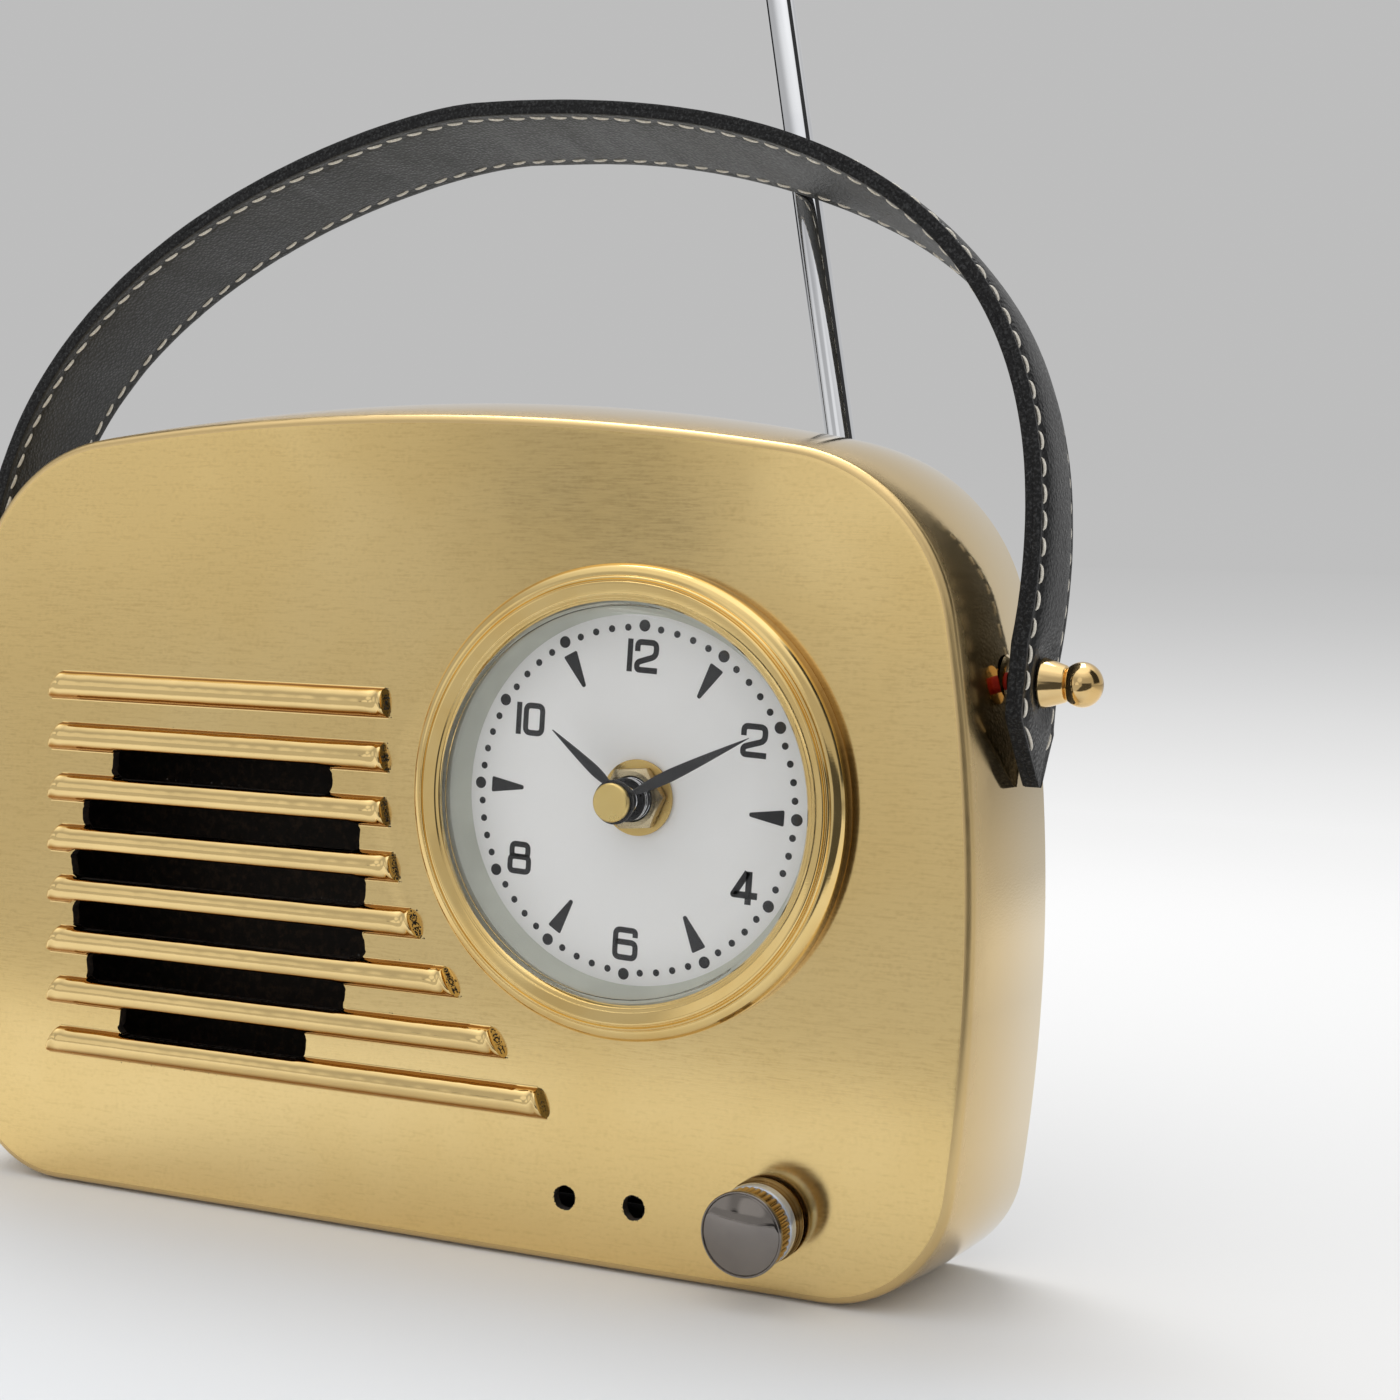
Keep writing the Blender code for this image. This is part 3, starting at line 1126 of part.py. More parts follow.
def add_aerial(chrome, steel):
    """Foot, swivel fork, hinged telescopic rod and tip, behind the back plate."""
    at = (AERIAL_X, AERIAL_HEIGHT)
    plate_rear = BODY_DEPTH - BACK_PLATE_RECESS
    foot_front = -plate_rear - GAP
    foot_rear = foot_front - AERIAL_FOOT_THICKNESS
    spigot = -BACK_PLATE_FRONT + BACK_PLATE_THICKNESS
    profile = (
        (0, foot_rear), (AERIAL_FOOT_RADIUS - AERIAL_FOOT_THICKNESS / 2, foot_rear),
        (AERIAL_FOOT_RADIUS, foot_front - AERIAL_FOOT_THICKNESS / 2), (AERIAL_FOOT_RADIUS, foot_front),
        (AERIAL_SPIGOT_RADIUS, foot_front), (AERIAL_SPIGOT_RADIUS, spigot), (0, spigot),
    )
    add_front_turned("aerial_foot", profile, chrome, at, MEDIUM_ROUND)

    hinge_depth = plate_rear + AERIAL_STANDOFF
    swivel_pivot = add_pivot(
        "aerial_swivel_pivot", front_place(*at, hinge_depth), (0, -AERIAL_LEAN_LEFT, 0)
    )
    disc_front = hinge_depth + foot_rear - GAP
    disc_rear = disc_front - AERIAL_SWIVEL_THICKNESS
    swivel = add_object(
        "aerial_swivel", prism(circle(AERIAL_SWIVEL_RADIUS, MEDIUM_ROUND), disc_rear, disc_front), chrome,
        (0, 0, 0), FRONT_VIEW, swivel_pivot,
    )
    cheek_in = AERIAL_LUG_THICKNESS / 2 + GAP
    half = AERIAL_CHEEK_HALF_HEIGHT
    outline = arc((0, 0), half, 0, math.pi, 6)
    outline += [(-half, -disc_rear - GAP), (half, -disc_rear - GAP)]
    sideways = (0, math.pi / 2, 0)
    cheeks = bmesh.new()
    for low in (cheek_in, -cheek_in - AERIAL_CHEEK_THICKNESS):
        prism(outline, low, low + AERIAL_CHEEK_THICKNESS, cheeks)
    shape_with(swivel, "UNION", cheeks, turn=sideways, parent=swivel_pivot)
    pin_half = cheek_in + AERIAL_CHEEK_THICKNESS
    bore_circle = circle(AERIAL_PIN_RADIUS + GAP, TINY_ROUND)
    bore = prism(bore_circle, -pin_half - OVERRUN, pin_half + OVERRUN)
    shape_with(swivel, "DIFFERENCE", bore, turn=sideways, parent=swivel_pivot)
    pin = prism(circle(AERIAL_PIN_RADIUS, TINY_ROUND), -pin_half, pin_half)
    add_object("aerial_pin", pin, steel, (0, 0, 0), sideways, swivel_pivot)

    fold_pivot = add_pivot("aerial_fold_pivot", (0, 0, 0), (-AERIAL_LEAN_BACK, 0, 0), swivel_pivot)
    radii = AERIAL_RADII
    tube_low = half + GAP
    tube_top = AERIAL_FIRST_LENGTH
    first = add_object(
        "aerial_section_1",
        turned(cup_profile(radii[0], radii[1] + GAP, tube_low, tube_top), SMALL_ROUND),
        chrome, parent=fold_pivot,
    )
    lug_half = AERIAL_LUG_THICKNESS / 2
    lug_radius = AERIAL_LUG_RADIUS
    lug_outline = arc((0, 0), lug_radius, -math.pi / 2, math.pi / 2, 6)
    lug_outline += [(-tube_low - GAP, lug_radius), (-tube_low - GAP, -lug_radius)]
    lug = prism(lug_outline, -lug_half, lug_half)
    shape_with(first, "UNION", lug, turn=sideways, parent=fold_pivot)
    bore = prism(bore_circle, -lug_half - OVERRUN, lug_half + OVERRUN)
    shape_with(first, "DIFFERENCE", bore, turn=sideways, parent=fold_pivot)

    second_top = tube_top + AERIAL_SECOND_OUT
    second_low = second_top - AERIAL_SECOND_LENGTH
    second = cup_profile(radii[1], radii[2] + GAP, second_low, second_top)
    add_object("aerial_section_2", turned(second, SMALL_ROUND), chrome, parent=fold_pivot)
    third_top = second_top + AERIAL_THIRD_OUT
    third_low = third_top - AERIAL_THIRD_LENGTH
    third = prism(circle(radii[2], SMALL_ROUND), third_low, third_top)
    add_object("aerial_section_3", third, chrome, parent=fold_pivot)
    socket = radii[2] + GAP
    ball_middle = third_top + GAP
    neck = math.asin(socket / AERIAL_TIP_RADIUS)
    ball = arc((0, ball_middle), AERIAL_TIP_RADIUS, neck - math.pi / 2, math.pi / 2, 6)
    tip = [(0, ball_middle), (socket, ball_middle), (socket, ball[0][1]), *ball[1:-1], (0, ball[-1][1])]
    add_object("aerial_tip", turned(tip, SMALL_ROUND), chrome, parent=fold_pivot)


def cup_profile(outer, inner, low, high):
    """Section of a tube with a closed lower end and an open upper end."""
    floor = low + outer
    return ((0, low), (outer, low), (outer, high), (inner, high), (inner, floor), (0, floor))


def main():
    clear_scene()
    gold = finish("gold_casting", (0.80, 0.58, 0.27), 0.32, 1.0)
    brass = finish("polished_brass", (0.86, 0.60, 0.22), 0.15, 1.0)
    glass = finish("clear_glass", (0.9, 0.95, 0.92), 0.02, 0.0)
    dial = finish("dial_print", (0.72, 0.73, 0.73), 0.5, 0.0)
    plastic = finish("black_plastic", (0.02, 0.02, 0.02), 0.5, 0.0)
    rubber = finish("black_rubber", (0.02, 0.02, 0.02), 0.8, 0.0)
    hand_black = finish("hand_black", (0.03, 0.03, 0.035), 0.5, 0.0)
    steel = finish("steel", (0.55, 0.55, 0.55), 0.35, 1.0)
    nylon = finish("white_nylon", (0.75, 0.75, 0.7), 0.5, 0.0)
    chrome = finish("chrome", (0.75, 0.76, 0.78), 0.08, 1.0)
    nickel = finish("dark_nickel", (0.16, 0.14, 0.14), 0.12, 1.0)
    leather = finish("black_leather", (0.015, 0.015, 0.017), 0.55, 0.0)
    lining = finish("lining_leather", (0.025, 0.025, 0.027), 0.65, 0.0)
    fibre = finish("red_fibre", (0.45, 0.03, 0.02), 0.7, 0.0)
    green = finish("board_green", (0.02, 0.12, 0.05), 0.5, 0.0)
    copper = finish("copper_wire", (0.60, 0.25, 0.10), 0.35, 1.0)
    felt = finish("base_felt", (0.02, 0.02, 0.02), 0.95, 0.0)
    add_body_shell(gold)
    add_base_pad(felt)
    add_back_plate(plastic)
    add_back_screws(steel)
    add_dial_stack(brass, glass, dial, nylon)
    add_shaft_hardware(brass, steel, rubber)
    add_hands_and_motion_work(hand_black, brass, nylon)
    add_movement(plastic, brass, steel, green, copper)
    for side in (-1, 1):
        add_stud(side, brass, steel, fibre)
    add_strap(leather, lining)
    add_knob(nickel, brass, chrome, steel)
    add_aerial(chrome, steel)


main()
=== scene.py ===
"""Looks of the radio-shaped table clock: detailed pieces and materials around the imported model."""

import json
import math

import bmesh
import bpy
from mathutils import Matrix, Vector, noise


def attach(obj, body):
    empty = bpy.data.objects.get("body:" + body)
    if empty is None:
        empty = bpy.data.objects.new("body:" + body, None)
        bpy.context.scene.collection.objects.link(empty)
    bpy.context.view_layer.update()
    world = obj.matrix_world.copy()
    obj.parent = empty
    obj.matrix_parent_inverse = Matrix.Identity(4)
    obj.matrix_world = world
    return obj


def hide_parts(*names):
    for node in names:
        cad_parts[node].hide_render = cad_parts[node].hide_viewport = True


MM = 0.001
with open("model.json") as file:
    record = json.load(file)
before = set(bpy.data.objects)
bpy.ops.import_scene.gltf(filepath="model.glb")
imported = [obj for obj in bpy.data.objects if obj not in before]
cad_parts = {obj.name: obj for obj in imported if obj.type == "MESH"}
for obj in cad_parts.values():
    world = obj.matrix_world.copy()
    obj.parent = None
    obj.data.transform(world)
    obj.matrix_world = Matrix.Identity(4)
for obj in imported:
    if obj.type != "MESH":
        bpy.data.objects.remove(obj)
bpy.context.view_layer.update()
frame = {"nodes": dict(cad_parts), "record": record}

# In metres, as in the model; heights count from the casting's underside, which is at BASE
BASE = 0.0010
FACE_Y = -0.0190
DEPTH = 0.0380
HALF_WIDTH, FLARE = 0.1137, 0.0023  # at the face, and what the rear has more
SIDE_BOW, BELLY = 0.350, 0.063  # radius of a side, and the height where it is widest
DIAL = (0.0465, 0.0885)
SHAFT = (0.0475, 0.0892)
KNOB = (0.0763, 0.0139)
DRILLED = ((0.0347, 0.0121), (0.0493, 0.0121))
STUD = (0, 0.003, 0.114)
BEZEL_REACH = 0.0443 + 0.0087
BAR_PITCH = 0.01066
BARS = [0.1043 - BAR_PITCH * i for i in range(8)]
BAR_LEFT = -0.0865
GRILLE_REACH, GRILLE_MIDDLE = 0.0363, 0.0627  # circle that the slots end on, and its height
STRAP_HALF, LEG_HALF = 0.0126, 0.0112
AERIAL_ASIDE = -0.0009

# In millimetres
DIAL_HOLE, KNOB_HOLE, STUD_HOLE, DRILL_HOLE = 40.9, 4.7, 1.9, 2.4
CUT = 4
BAR_RADIUS, BAR_HEIGHT, BAR_TOP = 2.75, 2.63, 2.76
SLOT_REACH, SLOT_HALF = 2.43, 3.12
SLOT_ENDS = (2.0, 1.4, 0.0, 0.0, -0.5, -0.9)
LEG_OUT = 0.4
HUB = 4.1

# Angles; the leans are in degrees
BAR_LEANS = (9, 9, 11, 14, 22, 29, 30, 20)
DIAL_TURN = math.radians(2.42)


def front(x, height, up=0.0):
    """A point on the front view: x, height, and how far it stands proud of the face."""
    return Vector((x, FACE_Y - up, BASE + height))


def facing(x, height, up=0.0):
    """A frame on the front whose Z axis points at the viewer and whose Y axis points up."""
    return Matrix.Translation(front(x, height, up)) @ Matrix.Rotation(math.pi / 2, 4, "X")


def stud_frame(side):
    """A frame at the studs' height whose Z axis points out to the right (1) or left (-1)."""
    return Matrix.Translation(STUD) @ Matrix.Rotation(side * math.pi / 2, 4, "Y")


def waver(*numbers):
    """Repeatable noise from -1 to 1."""
    return noise.noise(Vector(numbers))


def clamp(value, low=0.0, high=1.0):
    """A value held between two limits."""
    return max(low, min(high, value))


def ease(share):
    """A share from 0 to 1 that starts and ends gently."""
    return share * share * (3 - 2 * share)


# Meshes


def link(name, data):
    """Makes an object of some data and puts it into the scene."""
    made = bpy.data.objects.new(name, data)
    bpy.context.scene.collection.objects.link(made)
    return made


def to_mesh(name, bm):
    """Makes a mesh of a bmesh, with its faces outward."""
    bmesh.ops.recalc_face_normals(bm, faces=bm.faces)
    mesh = bpy.data.meshes.new(name)
    bm.to_mesh(mesh)
    bm.free()
    return mesh


def add(name, bm, materials, body, replaces=(), sharp=30):
    """Makes a piece of a bmesh that rides on a body."""
    mesh = to_mesh(name, bm)
    mesh.shade_smooth()
    mesh.set_sharp_from_angle(angle=math.radians(sharp))
    for material in materials if isinstance(materials, list) else [materials]:
        mesh.materials.append(material)
    made = link(name, mesh)
    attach(made, body)
    if replaces:
        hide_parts(*replaces)
    return made


def vertex(bm, matrix, x, y, z):
    """A vertex at a place in millimetres in a frame."""
    return bm.verts.new(matrix @ (Vector((x, y, z)) * MM))


def skin(bm, first, second):
    """Quads between two rings of points; a ring of one point makes a fan."""
    for i in range(max(len(first), len(second))):
        corners = [first[i % len(first)], first[(i + 1) % len(first)]]
        corners += [second[(i + 1) % len(second)], second[i % len(second)]]
        bm.faces.new(dict.fromkeys(corners))


def loft(bm, rings):
    """A skin over a row of rings, closed at both ends."""
    for first, second in zip(rings, rings[1:]):
        skin(bm, first, second)
    bm.faces.new(rings[0])
    bm.faces.new(rings[-1])


def lathe(profile, matrix, segments=96, closed=False, bm=None):
    """A profile of (radius, height) in millimetres turned about the frame's Z axis."""
    bm = bm or bmesh.new()
    rings = []
    for radius, height in profile:
        angles = [math.tau * i / segments for i in range(segments if radius > 1e-4 else 1)]
        rings.append([vertex(bm, matrix, radius * math.cos(a), radius * math.sin(a), height) for a in angles])
    pairs = list(zip(rings, rings[1:]))
    if closed:
        pairs.append((rings[-1], rings[0]))
    for a, b in pairs:
        if len(a) > 1 or len(b) > 1:
            skin(bm, a, b)
    return bm


def soften(profile, reach, steps=4):
    """Rounds the corners of an open profile; reach is one size or one for each inner corner."""
    reaches = reach if isinstance(reach, list) else [reach] * (len(profile) - 2)
    out = [profile[0]]
    for before, at, after, size in zip(profile, profile[1:], profile[2:], reaches):
        corner = Vector(at)
        back, ahead = Vector(before) - corner, Vector(after) - corner
        size = min(size, back.length * 0.48, ahead.length * 0.48)
        start, end = corner + back.normalized() * size, corner + ahead.normalized() * size
        for k in range(steps + 1):
            t = k / steps
            out.append(tuple((1 - t) ** 2 * start + 2 * t * (1 - t) * corner + t * t * end))
    out.append(profile[-1])
    return out


def soft_loop(points, reach, steps):
    """Rounds every corner of a closed outline."""
    return soften([points[-1], *points, points[0]], reach, steps)[1:-1]


def arc(centre, radius, start, end, steps):
    """Points on a circle from one angle to another."""
    turns = [start + (end - start) * i / steps for i in range(steps + 1)]
    return [(centre[0] + radius * math.cos(a), centre[1] + radius * math.sin(a)) for a in turns]


def circle(centre, radius, steps):
    """Points all round a circle."""
    return arc(centre, radius, 0, math.tau, steps)[:-1]


def prism(outline, matrix, low, high, bm=None):
    """An outline in millimetres raised along the frame's Z axis."""
    bm = bm or bmesh.new()
    loft(bm, [[vertex(bm, matrix, x, y, z) for x, y in outline] for z in (low, high)])
    return bm


def carve(target, operation, bm):
    """Cuts or joins a closed mesh and keeps the result."""
    cutter = link("cutter", to_mesh("cutter", bm))
    modifier = target.modifiers.new("cut", "BOOLEAN")
    modifier.operation = operation
    modifier.object = cutter
    bpy.context.view_layer.update()
    shown = target.evaluated_get(bpy.context.evaluated_depsgraph_get())
    result = bpy.data.meshes.new_from_object(shown)
    target.modifiers.clear()
    target.data = result
    bpy.data.objects.remove(cutter)


# Materials


class Value:
    """An output in the node tree in hand; arithmetic with it adds Math nodes."""

    tree = None

    def __init__(self, socket):
        self.socket = socket

    def __add__(self, other):
        return calc("ADD", self, other)

    def __radd__(self, other):
        return calc("ADD", other, self)

    def __sub__(self, other):
        return calc("SUBTRACT", self, other)

    def __rsub__(self, other):
        return calc("SUBTRACT", other, self)

    def __mul__(self, other):
        return calc("MULTIPLY", self, other)


def feed(socket, value):
    """Links a value to a socket, or sets the socket to it."""
    if isinstance(value, Value):
        Value.tree.links.new(value.socket, socket)
    elif isinstance(value, tuple) and len(value) == 3 and socket.type == "RGBA":
        socket.default_value = (*value, 1.0)
    else:
        socket.default_value = value


def node(kind, output=0, inputs=None, **settings):
    """Adds a node to the tree in hand and gives one of its outputs."""
    made = Value.tree.nodes.new("ShaderNode" + kind)
    for key, value in settings.items():
        setattr(made, key, value)
    for key, value in (inputs or {}).items():
        feed(made.inputs[key], value)
    return Value(made.outputs[output])


def calc(operation, *values):
    """Adds a Math node."""
    return node("Math", 0, dict(enumerate(values)), operation=operation)


def spread(value, low, high, start=0.0, end=1.0, kind="SMOOTHSTEP"):
    """A value brought from one range to another, smoothly."""
    inputs = {"Value": value, "From Min": low, "From Max": high, "To Min": start, "To Max": end}
    return node("MapRange", "Result", inputs, interpolation_type=kind)


def shade(share, first, second, kind="MIX"):
    """Mixes two colours."""
    return node("Mix", 2, {0: share, 6: first, 7: second}, data_type="RGBA", blend_type=kind)


def curve(value, stops):
    """A broken line through (value, level) stops."""
    total = stops[0][1]
    for (a, low), (b, high) in zip(stops, stops[1:]):
        total = total + spread(value, a, b, 0.0, high - low, "LINEAR")
    return total


def split(vector):
    """The three coordinates of a vector."""
    made = Value.tree.nodes.new("ShaderNodeSeparateXYZ")
    feed(made.inputs[0], vector)
    return [Value(socket) for socket in made.outputs]


def place(stretch=(1, 1, 1)):
    """The place on the object, stretched along the axes."""
    where = node("TexCoord", "Object")
    if stretch == (1, 1, 1):
        return where
    return node("VectorMath", 0, {0: where, 1: stretch}, operation="MULTIPLY")


def fuzz(scale, stretch=(1, 1, 1), detail=2.0, rough=0.5):
    """Cloudy noise from 0 to 1."""
    inputs = {"Vector": place(stretch), "Scale": scale, "Detail": detail, "Roughness": rough}
    return node("TexNoise", "Fac", inputs)


def relief(height, distance, under=None):
    """Bumps, on top of others."""
    inputs = {"Height": height, "Distance": distance, "Strength": 1.0}
    if under:
        inputs["Normal"] = under
    return node("Bump", "Normal", inputs)


def dress(made, **sockets):
    """Feeds the material's shader; a space in a socket's name is written as _."""
    for name, value in sockets.items():
        feed(made.node_tree.nodes["Principled BSDF"].inputs[name.replace("_", " ")], value)
    return made


def material(name, colour, roughness, metallic=0.0):
    """A plain material, whose node tree is then the one in hand."""
    made = bpy.data.materials.new(name)
    made.use_nodes = True
    Value.tree = made.node_tree
    return dress(made, Base_Color=colour, Roughness=roughness, Metallic=metallic)


def mix_in(made, share, other):
    """Mixes another shader into the material's own."""
    nodes = made.node_tree.nodes
    inputs = {0: share, 1: Value(nodes["Principled BSDF"].outputs[0]), 2: other}
    feed(nodes["Material Output"].inputs["Surface"], node("MixShader", 0, inputs))
    return made


GOLD = (0.83, 0.605, 0.275)


def stain():
    """Where polished metal is a little duller in colour."""
    return spread(fuzz(55.0, detail=4.0, rough=0.6), 0.35, 0.7)


def haze(low, high):
    """Uneven roughness of polished metal."""
    return spread(fuzz(260.0, detail=4.0), 0.3, 0.75, low, high)


def scratched(scale, wave, scratch, stretch=(500, 900, 3000)):
    """Slight waves under fine scratches."""
    return relief(fuzz(1.0, stretch, 2.0), scratch, relief(fuzz(scale, detail=1.5), wave))


def satin_face():
    """Horizontally brushed face, with a soft hollow where the bars end."""
    made = material("gold_face", GOLD, 0.3, 1.0)
    fine = fuzz(1.0, (230, 300, 2600), 2.0, 0.6)
    patch = fuzz(22.0, detail=3.0)
    lines = fine * 0.88 + fuzz(1.0, (14, 40, 420), 2.0) * 0.12
    plain = shade(spread(patch, 0.35, 0.65), (0.875, 0.655, 0.30), (0.84, 0.615, 0.265))
    streak = spread(lines * 0.75 + fuzz(1100.0, detail=1.0) * 0.45, 0.35, 0.65)
    x, _, z = split(place())
    drop, side = DIAL[1] + BASE - z, x - DIAL[0]
    reach = calc("SQRT", drop * drop + side * side)
    ends = calc("ABSOLUTE", calc("MAXIMUM", reach, (drop - side) * math.sqrt(0.5)) - BEZEL_REACH + 0.0018)
    hollow = spread(ends, 0.0, 0.0062, 1.0, 0.0) * spread(z, 0.024, 0.033) * spread(z, 0.112, 0.100)
    dented = hollow * spread(x, 0.012, -0.004) * spread(fuzz(45.0), 0.3, 0.7, 0.75, 1.2, "LINEAR")
    wavy = relief(fuzz(30.0, detail=1.0), 0.00014, relief(dented, -0.0006))
    return dress(
        made,
        Base_Color=shade(streak, shade(1.0, plain, (0.90, 0.885, 0.86), "MULTIPLY"), plain),
        Roughness=spread(fine, 0.3, 0.7, 0.13, 0.16) + spread(patch, 0.3, 0.7, -0.02, 0.02),
        Anisotropic=0.55, Anisotropic_Rotation=0.25,
        Tangent=node("Tangent", direction_type="RADIAL", axis="Z"),
        Normal=relief(lines, 0.0000035, wavy),
    )


def polished(name, light, dark, low, high, wave=0.00002, scale=140.0, scratch=0.0000035):
    """Polished metal with slight waves, fine scratches and a few dull patches."""
    made = material(name, light, low, 1.0)
    colour = shade(stain(), light, dark)
    return dress(made, Base_Color=colour, Roughness=haze(low, high), Normal=scratched(scale, wave, scratch))


def gold_wall():
    """Polished sides, satin by the front crease. Painted sheen: the colour is deeper by the front crease and
    paler to the rear. Painted shade: darker in bands lower down.
    """
    made = material("gold_wall", GOLD, 0.08, 1.0)
    _, y, z = split(place())
    # painted sheen: the wall's colour turns paler towards the rear
    plain = shade(spread(y, -0.018, 0.019), (0.80, 0.585, 0.275), (0.85, 0.70, 0.46))
    # painted shade: the wall darkens in bands lower down
    low = curve(z, [(0.0, 0.80), (0.030, 0.86), (0.055, 0.74), (0.082, 0.95), (0.11, 1.0)])
    rough = spread(y, -0.019, -0.006, 0.30, 0.07) + haze(-0.02, 0.03)
    wavy = scratched(60.0, 0.00003, 0.000006, (900, 900, 2600))
    return dress(made, Base_Color=shade(low, (0, 0, 0), plain), Roughness=rough, Normal=wavy)


def bar_brass():
    """Polished brass with painted shade: deep amber where it faces down or meets the face from above."""
    light = (0.91, 0.67, 0.30)
    made = material("gold_bar", light, 0.04, 1.0)
    up = split(node("NewGeometry", "Normal"))[2]
    # painted shade: faces turned down, and up-facing roots where the bars meet the face, take a deep amber
    # colour
    share = calc("MAXIMUM", spread(up, -0.36, -0.74), spread(up, 0.80, 0.94))
    plain = shade(stain(), light, tuple(c * 0.93 for c in light))
    colour = shade(share, plain, (0.37, 0.17, 0.028))
    wavy = scratched(150.0, 0.00006, 0.000005)
    return dress(made, Base_Color=colour, Roughness=haze(0.04, 0.09), Normal=wavy)


def bezel_brass():
    """Turned brass with painted shade where its flank meets the face."""
    made = material("bezel_brass", (0.87, 0.63, 0.26), 0.08, 1.0)
    # painted shade: the flank turns deep brown close to the face
    foot = spread(split(place())[1], FACE_Y - 0.0034, FACE_Y - 0.0022)
    plain = shade(stain(), (0.88, 0.65, 0.28), (0.83, 0.58, 0.22))
    colour = shade(foot, plain, (0.42, 0.25, 0.07))
    wavy = scratched(90.0, 0.00001, 0.0000035)
    return dress(made, Base_Color=colour, Roughness=haze(0.05, 0.12), Normal=wavy)


def rough_dark(name, colour, roughness, scale, depth, light):
    """A raw or fibrous surface with paler grains."""
    made = material(name, colour, roughness)
    grain = fuzz(scale, detail=4.0, rough=0.65)
    plain = shade(spread(grain, 0.45, 0.72), colour, light)
    return dress(made, Base_Color=plain, Normal=relief(grain, depth))


def leather(name, colour, light, roughness, pebble, depth, wrinkle):
    """Pebbled leather with long wrinkles; the lining has painted shade, darker to the left."""
    made = material(name, colour, roughness)
    bumps = node("TexVoronoi", "Distance", {"Vector": place(), "Scale": pebble}, feature="F1")
    patch = fuzz(60.0, detail=3.0)
    grain = bumps * -0.8 + fuzz(420.0, detail=2.0) * 0.5
    plain = shade(spread(patch, 0.35, 0.7), colour, light)
    # painted shade: the lining darkens towards its left
    if name == "lining_leather":
        plain = shade(spread(split(place())[0], -0.10, 0.02, 0.42, 1.0), (0, 0, 0), plain)
    rough = spread(bumps, 0.1, 0.6, roughness - 0.05, roughness + 0.12) + spread(patch, 0.3, 0.7, -0.04, 0.04)
    creases = spread(fuzz(1.0, (75, 14, 75), 1.5, 0.5), 0.3, 0.62)
    wavy = relief(creases, wrinkle, relief(grain, depth))
    return dress(made, Specular_IOR_Level=0.55, Base_Color=plain, Roughness=rough, Normal=wavy)


def painted(name, colour, roughness, speck=0.06, scale=1500.0, depth=0.00001, metallic=0.0):
    """Moulded, painted or plated surface with a fine even grain."""
    made = material(name, colour, roughness, metallic)
    grain = fuzz(scale, detail=3.0)
    darker = tuple(c * (1 - speck) for c in colour)
    rough = spread(grain, 0.3, 0.7, roughness * 0.9, min(roughness * 1.12, 1.0))
    plain = shade(spread(fuzz(70.0, detail=3.0), 0.35, 0.7), colour, darker)
    return dress(made, Base_Color=plain, Roughness=rough, Normal=relief(grain, depth))


def glass():
    """Clear glass that lets light through to the dial without a shadow."""
    made = material("clear_glass", (1.0, 1.0, 1.0), 0.0)
    rough = spread(fuzz(90.0, detail=2.0), 0.55, 0.8, 0.0, 0.02)
    dress(made, Transmission_Weight=1.0, IOR=1.025, Coat_Weight=0.25, Roughness=rough)
    return mix_in(made, node("LightPath", "Is Shadow Ray"), node("BsdfTransparent", 0, {"Color": (1, 1, 1)}))


def dial_lacquer():
    """White dial paint, slightly patchy and finely pitted."""
    made = material("dial_lacquer", (0.83, 0.825, 0.81), 0.42)
    grain = fuzz(2600.0, detail=2.0)
    patch = spread(fuzz(45.0, detail=3.0), 0.3, 0.75)
    plain = shade(patch, (0.94, 0.938, 0.922), (0.915, 0.912, 0.893))
    rough = spread(grain, 0.3, 0.7, 0.36, 0.48)
    return dress(made, Base_Color=plain, Roughness=rough, Normal=relief(grain, 0.000006))


def battery_wrap():
    """Plain shrink wrap with a paler band at the plus end."""
    made = material("battery_wrap", (0.03, 0.05, 0.12), 0.3)
    x = split(place())[0]
    steel = spread(x, 0.0707, 0.0709)
    colour = shade(spread(x, 0.0600, 0.0604), (0.03, 0.05, 0.12), (0.55, 0.55, 0.56))
    rough = spread(fuzz(300.0), 0.3, 0.7, 0.26, 0.36)
    return dress(made, Base_Color=shade(steel, colour, (0.6, 0.6, 0.6)), Metallic=steel, Roughness=rough)


def winding():
    """Turns of copper wire."""
    made = material("copper_winding", (0.55, 0.2, 0.07), 0.35, 0.9)
    wave = node("TexWave", "Fac", {"Vector": place(), "Scale": 900.0, "Distortion": 1.0}, bands_direction="X")
    colour = shade(wave, (0.62, 0.24, 0.09), (0.30, 0.09, 0.03))
    return dress(made, Base_Color=colour, Normal=relief(wave, 0.00005))


